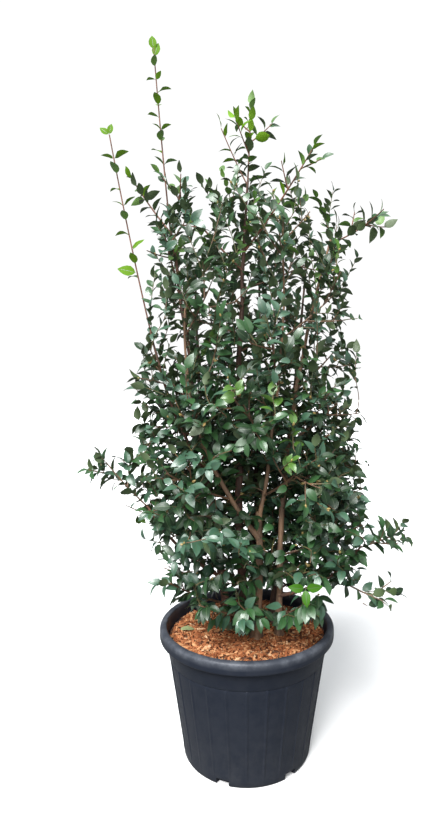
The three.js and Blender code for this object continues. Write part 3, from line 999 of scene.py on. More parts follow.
@dataclass(frozen=True)
class FineSizes:
    """Sizes of the finer twigs, leaves and buds that the coarse blades are carried on to."""

    fill_tries: int = 30000
    fill_rounds: int = 3
    bearer_steps: int = 24
    fill_heights: Span = (0.400, 1.490)
    heights: tuple[float, ...] = (0.62, 0.92, 1.08, 1.30, 1.48)
    fill_spacings: tuple[float, ...] = (0.034, 0.039, 0.063, 0.065, 0.061)
    dome_fall: float = 2.4
    back_spacing: float = 0.76
    twig_rises: tuple[float, ...] = (0.0, 0.02, 0.07, 0.09, 0.09)
    leafy_lengths: tuple[float, ...] = (0.048, 0.052, 0.080, 0.100, 0.090)
    leaf_scales: tuple[float, ...] = (0.90, 0.90, 0.89, 0.86, 0.82)
    leafy_spread_scatter: float = 9.0
    leafy_length_scatter: Span = (0.82, 1.08)
    first_roll: float = 0.5
    rank_scatter: float = 0.55
    droops: tuple[float, ...] = (-0.25, -0.12, 0.04, 0.10, 0.10)
    droop_scatter: float = 0.12
    front_droop: float = 0.55
    low_right_lift: float = 0.45
    low_right_clearance: float = 0.084
    face_onward: float = 0.75
    face_up: float = 0.50
    face_outward: float = 0.30
    fill_inner: float = 0.12
    fill_back_start: float = 0.365
    ragged: tuple[float, ...] = (0.020, 0.022, 0.028, 0.036, 0.036)
    window_share: float = 0.16
    mulch_clearance: float = 0.012
    spray_clearance: float = 0.050
    floor_level: float = 0.400
    floor_slope: float = 0.38
    over_top: float = 0.100
    low_left: Span = (0.62, 0.30)
    fill_inset: float = 0.034
    twig_reach: Span = (0.018, 0.170)
    bearer_pitch: float = 0.012
    leader_side_tip: Place = (-0.068, -0.012, 1.632)
    tip_allowance: float = 0.016
    own_reach: float = 0.90
    leaf_length: Span = (0.040, 0.054)
    whip_leaf_length: Span = (0.036, 0.050)
    whip_pair_share: float = 0.45
    whip_bare_top: float = 0.035
    leaf_pitch: float = 0.0150
    fill_pitch: float = 0.0106
    spray_leaves: tuple[int, int] = (3, 7)
    shoot_pitch: float = 0.0140
    shoot_starts: Span = (0.06, 0.18)
    shoot_spreads: Span = (58, 14)
    shoot_spread_scatter: float = 8.0
    shoot_rise: float = 0.10
    shoot_shrink: Span = (1.05, 0.80)
    shoot_leaf_length: Span = (0.042, 0.054)
    spray_radii: Span = (0.0014, 0.0008)
    twig_radii: Span = (0.0021, 0.0013)
    stem_tip_radius: float = 0.0017
    twig_points: int = 6
    twig_bend: float = 0.35
    twig_straight: float = 1.4
    twig_up: float = 0.1
    most_leafy: float = 0.85
    spray_leafy: float = 0.88
    spray_bow: float = 0.10
    shortest_end: float = 0.3
    woody_share: float = 0.35
    leaf_middle_gap: float = 0.0083
    limb_gap: float = 0.003
    spread_at_base: float = 62.0
    spread_at_tip: float = 16.0
    bud_share: float = 0.26
    most_buds: int = 4
    bud_scatter: float = 0.8
    at_tip: float = 0.001
    bud_length: Span = (0.0075, 0.0115)
    detail_seed: int = 9173
    fill_seed: int = 60013
    top_tips: tuple[Place, ...] = (
        (-0.066, -0.020, 1.522), (0.048, -0.022, 1.516), (-0.020, -0.055, 1.505), (0.010, 0.050, 1.512),
        (-0.120, 0.020, 1.492), (0.112, 0.030, 1.496))


FINE = FineSizes()


@dataclass
class Leaf:
    """The place, the lie and the look of one true leaf."""

    base: Points
    direction: Points
    normal: Points
    length: float
    tone: int
    shape: int


@dataclass
class Twig:
    """One fine tapering twig."""

    path: Points
    radii: Span
    tone: int


@dataclass
class Bud:
    """The place, the direction and the length of one plump flower bud."""

    base: Points
    direction: Points
    length: float


# ---- shader nodes
class NodeTree:
    """Adds and links the nodes of one shader tree."""

    def __init__(self, tree: bpy.types.NodeTree) -> None:
        """Starts with an empty tree."""
        self.tree = tree
        tree.nodes.clear()

    def add(self, kind: str, inputs: dict[str | int, object] | None = None, **settings: object) -> bpy.types.Node:
        """Adds a node, sets its options and sets or links its inputs.

        Args:
            kind: The node's type name.
            inputs: Values or output sockets, by input name or number.
            settings: Options of the node.

        Returns:
            The node.
        """
        node = self.tree.nodes.new(kind)
        for name, value in settings.items():
            setattr(node, name, value)
        for name, value in (inputs or {}).items():
            if isinstance(value, bpy.types.NodeSocket):
                self.tree.links.new(value, node.inputs[name])
            else:
                node.inputs[name].default_value = value
        return node

    def link(self, socket: Socket, node: bpy.types.Node, name: str) -> None:
        """Links a socket to the input of a node that has this name."""
        self.tree.links.new(socket, node.inputs[name])

    def open_group(self, numbers: dict[str, float], output: str) -> bpy.types.NodeOutputs:
        """Gives a node group its number inputs and its output.

        Args:
            numbers: The inputs' names and usual values.
            output: The output's name.

        Returns:
            The sockets that bring the inputs' values, by name.
        """
        new_socket = self.tree.interface.new_socket
        for name, value in numbers.items():
            new_socket(name, in_out="INPUT", socket_type="NodeSocketFloat").default_value = value
        new_socket(output, in_out="OUTPUT", socket_type="NodeSocketFloat")
        return self.add("NodeGroupInput").outputs

    def calculate(self, operation: str, first: object, second: object = 0.0) -> Socket:
        """Returns the socket with the result of a sum or the like."""
        return self.add("ShaderNodeMath", {0: first, 1: second}, operation=operation).outputs[0]

    def remap(self, value: Socket, source: tuple[object, object], target: Span) -> Socket:
        """Maps a value smoothly from one range to another.

        Args:
            value: The socket with the value.
            source: The range that it is read in.
            target: The range that it is put out in.

        Returns:
            The socket with the mapped value.
        """
        inputs = {0: value, 1: source[0], 2: source[1], 3: target[0], 4: target[1]}
        return self.add("ShaderNodeMapRange", inputs, interpolation_type="SMOOTHSTEP").outputs[0]

    def blend(self, mask: Socket, first: object, second: object) -> Socket:
        """Mixes two colours by a mask.

        Args:
            mask: The socket with the mask.
            first: The colour where the mask is 0, or its socket.
            second: The colour where the mask is 1, or its socket.

        Returns:
            The socket with the result.
        """
        colours = {number: colour if isinstance(colour, bpy.types.NodeSocket) else (*colour, 1)
                   for number, colour in ((6, first), (7, second))}
        return self.add("ShaderNodeMix", {0: mask, **colours}, data_type="RGBA").outputs[2]

    def place(self, stretch: Socket | None = None) -> Socket:
        """Finds the place on the object.

        Args:
            stretch: How far it is drawn out along the height, or None.

        Returns:
            The socket with the place.
        """
        place = self.add("ShaderNodeTexCoord").outputs["Object"]
        if stretch is None:
            return place
        scale = self.add("ShaderNodeCombineXYZ", {0: 1.0, 1: 1.0, 2: stretch}).outputs[0]
        return self.add("ShaderNodeVectorMath", {0: place, 1: scale}, operation="MULTIPLY").outputs[0]


class Effect(Enum):
    """The shader node groups that several finishes share."""

    MOTTLE = "soft mottle"
    RELIEF = "fine relief"
    # Patchy dust; the same group lays the painted highlight on the pot's lip.
    DUST = "settled dust"

    def group(self) -> bpy.types.NodeTree:
        """Finds the effect's node group or builds it on first use.

        Returns:
            The node group.
        """
        found = bpy.data.node_groups.get(self.value)
        if found:
            return found
        group = bpy.data.node_groups.new(self.value, "ShaderNodeTree")
        builders = {Effect.MOTTLE: self.build_mottle, Effect.RELIEF: self.build_relief, Effect.DUST: self.build_dust}
        builders[self](NodeTree(group))
        return group

    @staticmethod
    def build_mottle(nodes: NodeTree) -> None:
        """Builds cloudy patches: a mask from 0 to 1.

        Args:
            nodes: The helper that adds the group's nodes.
        """
        ins = nodes.open_group({"Scale": 40.0, "Stretch": 1.0, "Low Edge": 0.35, "High Edge": 0.65}, "Mask")
        noise = nodes.add("ShaderNodeTexNoise", {"Vector": nodes.place(ins["Stretch"]), "Scale": ins["Scale"],
                                                 "Detail": 4.0, "Roughness": 0.6}).outputs[0]
        mask = nodes.remap(noise, (ins["Low Edge"], ins["High Edge"]), (0.0, 1.0))
        nodes.add("NodeGroupOutput", {"Mask": mask})

    @staticmethod
    def build_relief(nodes: NodeTree) -> None:
        """Builds a fine uneven surface: a height from 0 to 1.

        Args:
            nodes: The helper that adds the group's nodes.
        """
        ins = nodes.open_group({"Scale": 300.0, "Stretch": 1.0, "Cell Share": 0.4}, "Height")
        place = nodes.place(ins["Stretch"])
        noise = nodes.add("ShaderNodeTexNoise", {"Vector": place, "Scale": ins["Scale"], "Detail": 5.0}).outputs[0]
        cells = nodes.add("ShaderNodeTexVoronoi", {"Vector": place, "Scale": ins["Scale"]}).outputs["Distance"]
        height = nodes.add("ShaderNodeMix", {0: ins["Cell Share"], 2: noise, 3: cells}).outputs[0]
        nodes.add("NodeGroupOutput", {"Height": height})

    @staticmethod
    def build_dust(nodes: NodeTree) -> None:
        """Builds patchy dust, used also for a painted highlight, that fades away from a level: a mask from 0 to 1.

        Args:
            nodes: The helper that adds the group's nodes.
        """
        ins = nodes.open_group({"Level": 0.0, "Fade": 0.1, "Scale": 30.0, "Amount": 0.5}, "Mask")
        height = nodes.add("ShaderNodeSeparateXYZ", {0: nodes.place()}).outputs[2]
        away = nodes.calculate("ABSOLUTE", nodes.calculate("SUBTRACT", height, ins["Level"]))
        near = nodes.add("ShaderNodeMapRange", {0: away, 1: 0.0, 2: ins["Fade"], 3: 1.0, 4: 0.0}).outputs[0]
        noise = nodes.add("ShaderNodeTexNoise", {"Vector": nodes.place(), "Scale": ins["Scale"], "Detail": 6.0,
                                                 "Roughness": 0.7}).outputs[0]
        patches = nodes.remap(noise, (0.38, 0.68), (0.30, 1.0))
        # The mask lays real dust and also the painted highlight on the lip.
        dust = nodes.calculate("MULTIPLY", nodes.calculate("MULTIPLY", near, patches), ins["Amount"])
        nodes.add("NodeGroupOutput", {"Mask": dust})

    def add_to(self, nodes: NodeTree, values: dict[str, float]) -> Socket:
        """Places the effect in a material.

        Args:
            nodes: The helper that adds the material's nodes.
            values: The values of the group's inputs.

        Returns:
            The group's output socket.
        """
        return nodes.add("ShaderNodeGroup", values, node_tree=self.group()).outputs[0]


# ---- finishes
@dataclass(frozen=True)
class Finish:
    """A finish: a base colour with cloudy patches of a second one, fine relief and uneven gloss."""

    name: str
    colour: Colour
    patches: Colour | None = None
    patch_scale: float = 40.0
    patch_edges: Span = (0.35, 0.65)
    stretch: float = 1.0
    roughness: Span = (0.5, 0.7)
    relief_scale: float = 300.0
    relief_depth: float = 0.0003
    relief_cells: float = 0.4
    specular: float = 0.5

    def material(self) -> bpy.types.Material:
        """Finds the finish's material or builds it on first use.

        Returns:
            The material.
        """
        found = bpy.data.materials.get(self.name)
        if found:
            return found
        material = bpy.data.materials.new(self.name)
        material.use_nodes = True
        nodes = NodeTree(material.node_tree)
        shader = nodes.add("ShaderNodeBsdfPrincipled", {"Specular IOR Level": self.specular})
        nodes.add("ShaderNodeOutputMaterial", {"Surface": self.surface(nodes, shader)})
        self.dress(nodes, shader)
        return material

    def surface(self, nodes: NodeTree, shader: bpy.types.Node) -> Socket:
        """Returns what the material's surface takes."""
        return shader.outputs[0]

    def dress(self, nodes: NodeTree, shader: bpy.types.Node) -> None:
        """Sets the shader's colour, gloss and relief.

        Args:
            nodes: The helper that adds the material's nodes.
            shader: The material's shader.
        """
        mask = Effect.MOTTLE.add_to(nodes, {"Scale": self.patch_scale, "Stretch": self.stretch,
                                            "Low Edge": self.patch_edges[0], "High Edge": self.patch_edges[1]})
        if self.patches is None:
            shader.inputs["Base Color"].default_value = (*self.colour, 1)
        else:
            nodes.link(nodes.blend(mask, self.colour, self.patches), shader, "Base Color")
        nodes.link(nodes.remap(mask, (0.0, 1.0), self.roughness), shader, "Roughness")
        height = Effect.RELIEF.add_to(nodes, {"Scale": self.relief_scale, "Stretch": self.stretch,
                                              "Cell Share": self.relief_cells})
        bump = nodes.add("ShaderNodeBump", {"Height": height, "Strength": 1.0, "Distance": self.relief_depth})
        nodes.link(bump.outputs[0], shader, "Normal")


@dataclass(frozen=True)
class FloorFinish(Finish):
    """A floor that is pale to the eye, but throws little light back onto what stands on it."""

    bounce: Colour = (0.18, 0.185, 0.19)

    def surface(self, nodes: NodeTree, shader: bpy.types.Node) -> Socket:
        """Mixes the pale shader for the eye with a dim one for all other light.

        Args:
            nodes: The helper that adds the material's nodes.
            shader: The pale shader.

        Returns:
            What the material's surface takes.
        """
        dim = nodes.add("ShaderNodeBsdfDiffuse", {"Color": (*self.bounce, 1)})
        seen = nodes.add("ShaderNodeLightPath").outputs["Is Camera Ray"]
        return nodes.add("ShaderNodeMixShader", {0: seen, 1: dim.outputs[0], 2: shader.outputs[0]}).outputs[0]


@dataclass(frozen=True)
class DustAndHighlightFinish(Finish):
    """A finish with patchy layers, of real dust and of painted highlight, each thickest at a level."""

    def lay_dust_and_highlight(self, nodes: NodeTree, shader: bpy.types.Node, colour: Colour, values: dict[str, float]) -> None:
        """Lays one patchy layer over the shader's colour: dust, or the painted highlight on the pot's lip.

        Args:
            nodes: The helper that adds the material's nodes.
            shader: The material's shader.
            colour: The layer's colour.
            values: Its level, fade, scale and amount.
        """
        plain = shader.inputs["Base Color"].links[0].from_socket
        mask = Effect.DUST.add_to(nodes, values)
        nodes.link(nodes.blend(mask, plain, colour), shader, "Base Color")


@dataclass(frozen=True)
class PotFinish(DustAndHighlightFinish):
    """Moulded black plastic with dust towards the foot and a painted highlight, in scuff-like patches, along the
    lip's shoulder.
    """

    dust: Colour = (0.062, 0.063, 0.066)
    # Painted highlight: a light, patchy band along the lip's shoulder, placed by lip_level and lip_fade.
    lip_highlight: Colour = (0.120, 0.130, 0.150)
    foot_fade: float = 0.20
    lip_level: float = 0.323
    lip_fade: float = 0.014

    def dress(self, nodes: NodeTree, shader: bpy.types.Node) -> None:
        """Adds the dust and the painted highlight on the lip's shoulder to the plain finish.

        Args:
            nodes: The helper that adds the material's nodes.
            shader: The material's shader.
        """
        super().dress(nodes, shader)
        foot = {"Level": 0.0, "Fade": self.foot_fade, "Scale": 26.0, "Amount": 0.32}
        # The lip's layer paints a highlight along the shoulder, broken into scuff-like patches.
        lip = {"Level": self.lip_level, "Fade": self.lip_fade, "Scale": 22.0, "Amount": 0.85}
        self.lay_dust_and_highlight(nodes, shader, self.dust, foot)
        self.lay_dust_and_highlight(nodes, shader, self.lip_highlight, lip)


@dataclass(frozen=True)
class BarkFinish(DustAndHighlightFinish):
    """Thin bark with grey patches and dust from the mulch round the foot of the stems."""

    patch_scale: float = 55.0
    stretch: float = 0.25
    roughness: Span = (0.6, 0.85)
    relief_scale: float = 260.0
    relief_depth: float = 0.0012
    soil: Colour = (0.062, 0.034, 0.022)
    soil_fade: float = 0.07

    def dress(self, nodes: NodeTree, shader: bpy.types.Node) -> None:
        """Adds the dust at the foot to the plain finish.

        Args:
            nodes: The helper that adds the material's nodes.
            shader: The material's shader.
        """
        super().dress(nodes, shader)
        foot = {"Level": GROWTH.mulch_top, "Fade": self.soil_fade, "Scale": 90.0, "Amount": 0.7}
        self.lay_dust_and_highlight(nodes, shader, self.soil, foot)


@dataclass(frozen=True)
class LeafFinish(Finish):
    """A leaf's finish: one plain colour, with uneven gloss and a finely puckered surface."""

    patch_scale: float = 35.0
    relief_scale: float = 60.0
    relief_cells: float = 0.0
    specular: float = 1.0


@dataclass(frozen=True)
class TwigFinish(Finish):
    """The thin skin of a fine twig, streaked along it."""

    stretch: float = 0.3
    relief_scale: float = 600.0


@dataclass(frozen=True)
class ChipFinish(Finish):
    """The dull face of split bark."""

    patch_scale: float = 130.0
    roughness: Span = (0.75, 0.9)
    specular: float = 0.12


class Tone(Enum):
    """A choice of finishes for the faces of one piece."""

    @property
    def number(self) -> int:
        """The tone's material number on its piece."""
        return list(type(self)).index(self)


class LeafTone(Tone):
    """The tones of the leaves' upper sides, with the underside and the midrib."""

    DEEP = LeafFinish("leaf_deep_green", (0.009, 0.033, 0.009), roughness=(0.42, 0.52), specular=0.62)
    MIDDLE = LeafFinish("leaf_middle_green", (0.025, 0.083, 0.023), roughness=(0.37, 0.45))
    # Paler bluish green: partly the leaves' own tone, partly painted sheen of a glossy face.
    BLUISH = LeafFinish("leaf_bluish_green", (0.041, 0.102, 0.060), roughness=(0.35, 0.43))
    FRESH = LeafFinish("leaf_fresh_green", (0.062, 0.150, 0.018), roughness=(0.38, 0.46))
    YOUNG = LeafFinish("leaf_young_green", (0.092, 0.205, 0.005), roughness=(0.52, 0.62), specular=0.12)
    BRIGHT = LeafFinish("leaf_bright_green", (0.034, 0.122, 0.003), roughness=(0.46, 0.54), specular=0.30)
    FALLEN = LeafFinish("leaf_fallen", (0.260, 0.300, 0.130), roughness=(0.50, 0.65))
    UNDERSIDE = LeafFinish("leaf_underside", (0.060, 0.100, 0.032), roughness=(0.55, 0.70))
    UNDER_FRESH = LeafFinish("leaf_fresh_underside", (0.110, 0.240, 0.030), roughness=(0.55, 0.70))
    UNDER_YOUNG = LeafFinish("leaf_young_underside", (0.150, 0.310, 0.014), roughness=(0.55, 0.70), specular=0.30)
    MIDRIB = LeafFinish("leaf_midrib", (0.048, 0.095, 0.030), roughness=(0.40, 0.52))


class TwigTone(Tone):
    """The finishes of the fine twigs."""

    WOODY = TwigFinish("twig_woody", (0.175, 0.095, 0.050), (0.090, 0.055, 0.036), 120.0)
    GREEN = TwigFinish("twig_green", (0.070, 0.085, 0.026), (0.110, 0.070, 0.030), 90.0)
    REDDISH = TwigFinish("twig_reddish", (0.190, 0.070, 0.038), (0.115, 0.052, 0.030), 110.0)


class ChipTone(Tone):
    """The finishes of the bark chips."""

    ORANGE = ChipFinish("chip_orange", (0.430, 0.168, 0.070), (0.300, 0.110, 0.046))
    RUSSET = ChipFinish("chip_russet", (0.305, 0.103, 0.039), (0.200, 0.066, 0.027))
    TAN = ChipFinish("chip_tan", (0.600, 0.310, 0.150), (0.445, 0.210, 0.094))
    PALE = ChipFinish("chip_pale", (0.680, 0.450, 0.270), (0.550, 0.320, 0.170))
    DARK = ChipFinish("chip_dark", (0.150, 0.058, 0.030), (0.085, 0.036, 0.021), roughness=(0.8, 0.95))


class BarkTone(Enum):
    """The finishes of the bark on stems and boughs, DARK being a darker copy that paints shade."""

    TAN = BarkFinish("bark_tan", (0.280, 0.165, 0.095), (0.150, 0.095, 0.062))
    RUSSET = BarkFinish("bark_russet", (0.190, 0.085, 0.052), (0.095, 0.056, 0.042))
    # A darker copy of the bark: painted shade for the leader and the stems at the back.
    DARK = BarkFinish("bark_dark", (0.110, 0.054, 0.037), (0.060, 0.036, 0.028))


CUT_WOOD = Finish("cut_wood", (0.420, 0.270, 0.150), (0.260, 0.160, 0.085), 140.0, roughness=(0.65, 0.8))
BUD_SCALES = Finish("bud_scales", (0.400, 0.260, 0.090), (0.220, 0.190, 0.070), 260.0, roughness=(0.4, 0.55),
                    relief_scale=500.0)
POT_PLASTIC = PotFinish("pot_plastic", (0.0125, 0.0160, 0.0250), (0.0165, 0.0200, 0.0290), 34.0,
                        roughness=(0.32, 0.42), relief_scale=900.0, relief_depth=0.00015, specular=0.18)
MULCH_BED = Finish("mulch_bed", (0.060, 0.028, 0.016), (0.120, 0.050, 0.026), 90.0, roughness=(0.85, 0.95),
                   relief_scale=240.0, relief_depth=0.003)
SOIL = Finish("potting_soil", (0.030, 0.020, 0.014), (0.055, 0.036, 0.024), 70.0, roughness=(0.9, 0.98),
              relief_scale=200.0, relief_depth=0.003)
FLOOR = FloorFinish("pale_floor", (0.93, 0.93, 0.93), (0.91, 0.91, 0.91), 3.0, roughness=(0.75, 0.8),
                    relief_scale=60.0, relief_depth=0.00005)


# ---- meshes
class MeshParts:
    """Collects the points and faces of one piece."""

    def __init__(self) -> None:
        """Starts empty."""
        self.points: list[Points] = []
        self.corners: list[Points] = []
        self.sizes: list[Points] = []
        self.slots: list[Points] = []
        self.count = 0

    def add_points(self, points: Points) -> int:
        """Adds points.

        Args:
            points: The points.

        Returns:
            The number of the first.
        """
        first = self.count
        self.points.append(np.asarray(points, float).reshape(-1, 3))
        self.count += len(self.points[-1])
        return first

    def add_faces(self, faces: Points, slots: Points | int = 0) -> None:
        """Adds faces of equal corner counts.

        Args:
            faces: The faces, one row of point numbers each.
            slots: Their material number, or one for each.
        """
        faces = np.asarray(faces, np.int32)
        self.corners.append(faces.ravel())
        self.sizes.append(np.full(len(faces), faces.shape[1], np.int32))
        self.slots.append(np.broadcast_to(np.asarray(slots, np.int32), (len(faces),)))

    def add_fan(self, ring: Points, middle: Points, slot: int) -> None:
        """Closes a ring of points with triangles round a middle point.

        Args:
            ring: The numbers of the ring's points.
            middle: The middle point.
            slot: The triangles' material number.
        """
        centre = np.full(len(ring), self.add_points(middle))
        self.add_faces(np.stack([ring, np.roll(ring, -1), centre], -1), slot)

    def add_body(self, rings: Points, near: Points, far: Points, slot: int = 0, far_slot: int = 0) -> None:
        """Adds a closed body: rings of points that close round, with a fan over the first and over the last.

        Args:
            rings: The rings, each with the same number of points.
            near: The middle point before the first ring.
            far: The middle point after the last ring.
            slot: The material number.
            far_slot: The material number of the far end.
        """
        count, sides = rings.shape[:2]
        numbers = self.add_points(rings) + np.arange(count * sides).reshape(count, sides)
        following = np.roll(numbers, -1, axis=1)
        quads = [numbers[:-1], following[:-1], following[1:], numbers[1:]]
        self.add_faces(np.stack(quads, -1).reshape(-1, 4), slot)
        self.add_fan(numbers[0, ::-1], near, slot)
        self.add_fan(numbers[-1], far, far_slot)

    def triangles(self) -> int:
        """Returns how many triangles the faces make."""
        return int(sum((sizes - 2).sum() for sizes in self.sizes))

    def mesh(self, name: str, sharp_degrees: float = 50.0) -> bpy.types.Mesh:
        """Builds the mesh, smooth but for sharp edges.

        Args:
            name: The mesh's name.
            sharp_degrees: The angle between two faces above which their edge is sharp.

        Returns:
            The mesh.
        """
        mesh = bpy.data.meshes.new(name)
        points = np.concatenate(self.points).astype(np.float32)
        corners = np.concatenate(self.corners)
        sizes = np.concatenate(self.sizes)
        mesh.vertices.add(len(points))
        mesh.vertices.foreach_set("co", points.ravel())
        mesh.loops.add(len(corners))
        mesh.loops.foreach_set("vertex_index", corners)
        mesh.polygons.add(len(sizes))
        mesh.polygons.foreach_set("loop_start", np.concatenate(([0], np.cumsum(sizes)[:-1])).astype(np.int32))
        mesh.polygons.foreach_set("material_index", np.concatenate(self.slots))
        mesh.polygons.foreach_set("use_smooth", np.ones(len(sizes), bool))
        mesh.update(calc_edges=True)
        mesh.set_sharp_from_angle(angle=math.radians(sharp_degrees))
        return mesh


def add_object(name: str, data: bpy.types.ID) -> Piece:
    """Puts a mesh, a lamp or a camera in the scene.

    Args:
        name: The object's name.
        data: What it shows.

    Returns:
        The object.
    """
    piece = bpy.data.objects.new(name, data)
    bpy.context.scene.collection.objects.link(piece)
    return piece


def dress_piece(name: str, parts: MeshParts, finishes: Iterable[Finish],
                nodes: Iterable[str]) -> Piece:
    """Makes a piece of the object from its mesh and finishes, and puts it in the place of solids.

    Args:
        name: The piece's name.
        parts: Its points and faces.
        finishes: Its finishes, in the order of the faces' material numbers.
        nodes: The solids that it stands for.

    Returns:
        The piece.
    """
    mesh = parts.mesh(name)
    for finish in finishes:
        mesh.materials.append(finish.material())
    piece = add_object(name, mesh)
    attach(piece, ROOT_BODY)
    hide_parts(*nodes)
    LOG.info("%s: %d triangles", name, parts.triangles())
    return piece


def add_tube(parts: MeshParts, path: Points, radii: Points, sides: int, slot: int,
             relief: Callable[[Points, Points], Points] | None = None, far_slot: int | None = None) -> None:
    """Adds a closed tube along a path, in line with its turns.

    Args:
        parts: The piece that it is added to.
        path: The middle line.
        radii: The radius at each point.
        sides: How many sides.
        slot: The material number.
        relief: Gives the share by which each point stands out, from the points and the angles.
        far_slot: The material number of the far end, where it differs.
    """
    tangents = np.gradient(path, axis=0)
    tangents /= np.linalg.norm(tangents, axis=1)[:, None]
    first, _ = cross_frame(tangents[0])
    angles = np.arange(sides) * 2 * math.pi / sides
    rings = np.empty((len(path), sides, 3))
    for number, tangent in enumerate(tangents):
        first = square_to(first, tangent)
        second = cross(tangent, first)
        rings[number] = np.cos(angles)[:, None] * first + np.sin(angles)[:, None] * second
    reach = radii[:, None, None]
    surface = path[:, None] + reach * rings
    if relief is not None:
        reach = reach * (1 + relief(surface, np.broadcast_to(angles, surface.shape[:2])))[..., None]
        surface = path[:, None] + reach * rings
    parts.add_body(surface, path[0], path[-1], slot, slot if far_slot is None else far_slot)


# ---- pot
@dataclass
class NurseryPot:
    """The round tapering pot: a rounded lip, a plain band, ribbed panels, foot notches and a hollow inside."""

    height: float = 0.328
    rim_radius: float = 0.229
    rim_inner_radius: float = 0.211
    lip_height: float = 0.029
    lip_rounding: float = 0.009
    wall_top_radius: float = 0.213
    base_radius: float = 0.165
    wall_thickness: float = 0.004
    floor_thickness: float = 0.014
    band_height: float = 0.048
    band_step: float = 0.0024
    panel_count: int = 26
    panel_depth: float = 0.0015
    rib_phases: tuple[float, ...] = (0.0, 0.022, 0.045, 0.075, 0.13, 0.25, 0.40, 0.60, 0.75, 0.87, 0.925, 0.955,
                                     0.978)
    notch_count: int = 6
    notch_width: float = 0.032
    notch_height: float = 0.015
    notch_depth: float = 0.014
    notch_turn: float = -20.5
    rib_edge: float = 0.03
    rib_slope: float = 0.05

    def wall_radius(self, height: float) -> float:
        """Returns the outer wall's radius at a height."""
        return mix(self.base_radius, self.wall_top_radius, height / (self.height - self.lip_height))

    def columns(self) -> list[tuple[float, bool]]:
        """Lists the upright lines of points round the pot.

        Returns:
            Each line's angle in radians and whether it stands in a foot notch.
        """
        plain = [2 * math.pi * (panel + phase) / self.panel_count
                 for panel in range(self.panel_count) for phase in self.rib_phases]
        half = self.notch_width / 2 / self.base_radius
        lines = []
        notches = [math.radians(self.notch_turn + 360 * i / self.notch_count) for i in range(self.notch_count)]
        for angle in plain:
            off = min(abs((angle - notch + math.pi) % (2 * math.pi) - math.pi) for notch in notches)
            if abs(off - half) > 0.002:
                lines.append((angle, off < half))
        for notch in notches:
            for side in (-1, 1):
                edge = (notch + side * half) % (2 * math.pi)
                lines.append((edge + side * 1e-5, False))
                lines.append((edge - side * 1e-5, True))
        return sorted(lines)

    def foot_rings(self) -> tuple[list[tuple[float, float]], list[tuple[float, float]]]:
        """Lists the rings of the underside and the foot.

        Returns:
            The rings between notches and the rings in them, each as radius and height.
        """
        inner = self.base_radius - self.notch_depth
        top = self.notch_height
        plain = [(inner, 0), (inner + 0.004, 0), (self.base_radius - 0.004, 0), (self.base_radius - 0.0012, 0.0008),
                 (self.wall_radius(0.004), 0.004), (self.wall_radius(top + 0.0012), top + 0.0012)]
        cut = [(inner, 0), (inner + 0.0002, top), (self.wall_radius(top) - 0.004, top),
               (self.wall_radius(top) - 0.0012, top), (self.wall_radius(top) - 0.0002, top + 0.0003),
               (self.wall_radius(top + 0.0012), top + 0.0012)]
        return plain, cut

    def upper_rings(self) -> list[tuple[float, float, float]]:
        """Lists the rings from the foot over the lip down to the inside's floor.

        Returns:
            Each ring's radius, its height and how deep the panels lie there.
        """
        lip_bottom = self.height - self.lip_height
        band_bottom = lip_bottom - self.band_height
        rings = []
        for share in (0.06, 0.12, 0.25, 0.4, 0.55, 0.7, 0.85, 0.95, 0.985):
            height = mix(self.notch_height, band_bottom, share)
            rings.append((self.wall_radius(height), height, min(1.0, share / 0.12) * min(1.0, (1 - share) / 0.015)))
        rings += [
            (self.wall_radius(band_bottom) - self.band_step, band_bottom, 0.0),
            (self.wall_radius(band_bottom) - 0.2 * self.band_step, band_bottom + 0.5 * self.band_step, 0.0),
            (self.wall_radius(band_bottom), band_bottom + self.band_step, 0.0),
            (self.wall_radius(lip_bottom - 0.010), lip_bottom - 0.010, 0.0),
            (self.wall_top_radius, lip_bottom, 0.0),
        ]
        for share in np.linspace(0, 1, 4):
            turn = share * math.pi / 2
            rings.append((self.rim_radius - 0.003 + 0.003 * math.sin(turn),
                          lip_bottom - 0.001 + 0.004 - 0.004 * math.cos(turn), 0.0))
        middle = self.rim_radius - self.lip_rounding
        for share in np.linspace(0, 1, 7):
            turn = share * math.pi / 2
            rings.append((middle + self.lip_rounding * math.cos(turn),
                          self.height - self.lip_rounding + self.lip_rounding * math.sin(turn), 0.0))
        inner = self.rim_inner_radius
        for share in np.linspace(0, 1, 5):
            turn = share * math.pi / 2
            rings.append((inner + 0.005 - 0.005 * math.sin(turn), self.height - 0.0052 + 0.005 * math.cos(turn), 0.0))
        bore_off = self.wall_thickness + self.panel_depth
        rings.append((inner - 0.0004, self.height - 0.016, 0.0))
        for height in (0.300, 0.286, 0.150, self.floor_thickness):
            rings.append((min(inner - 0.0004, self.wall_radius(height) - bore_off), height, 0.0))
        return rings

    def build(self) -> Piece:
        """Builds and dresses the pot.

        Returns:
            The piece.
        """
        lines = self.columns()
        angles = np.array([angle for angle, _ in lines])
        cut = np.array([in_notch for _, in_notch in lines])
        phase = (angles * self.panel_count / (2 * math.pi)) % 1
        border = np.minimum(phase, 1 - phase)
        recess = np.clip((border - self.rib_edge) / self.rib_slope, 0, 1)
        recess = recess * recess * (3 - 2 * recess)
        rings = []
        for plain, notched in zip(*self.foot_rings()):
            rings.append((np.where(cut, notched[0], plain[0]), np.where(cut, notched[1], plain[1])))
        for radius, height, depth in self.upper_rings():
            rings.append((radius - depth * self.panel_depth * recess, np.full(len(lines), height)))
        surface = np.array([np.stack([radius * np.sin(angles), -radius * np.cos(angles), height], -1)
                            for radius, height in rings])
        parts = MeshParts()
        parts.add_body(surface, [0, 0, 0], [0, 0, self.floor_thickness])
        return dress_piece("nursery_pot", parts, [POT_PLASTIC], ["pot"])


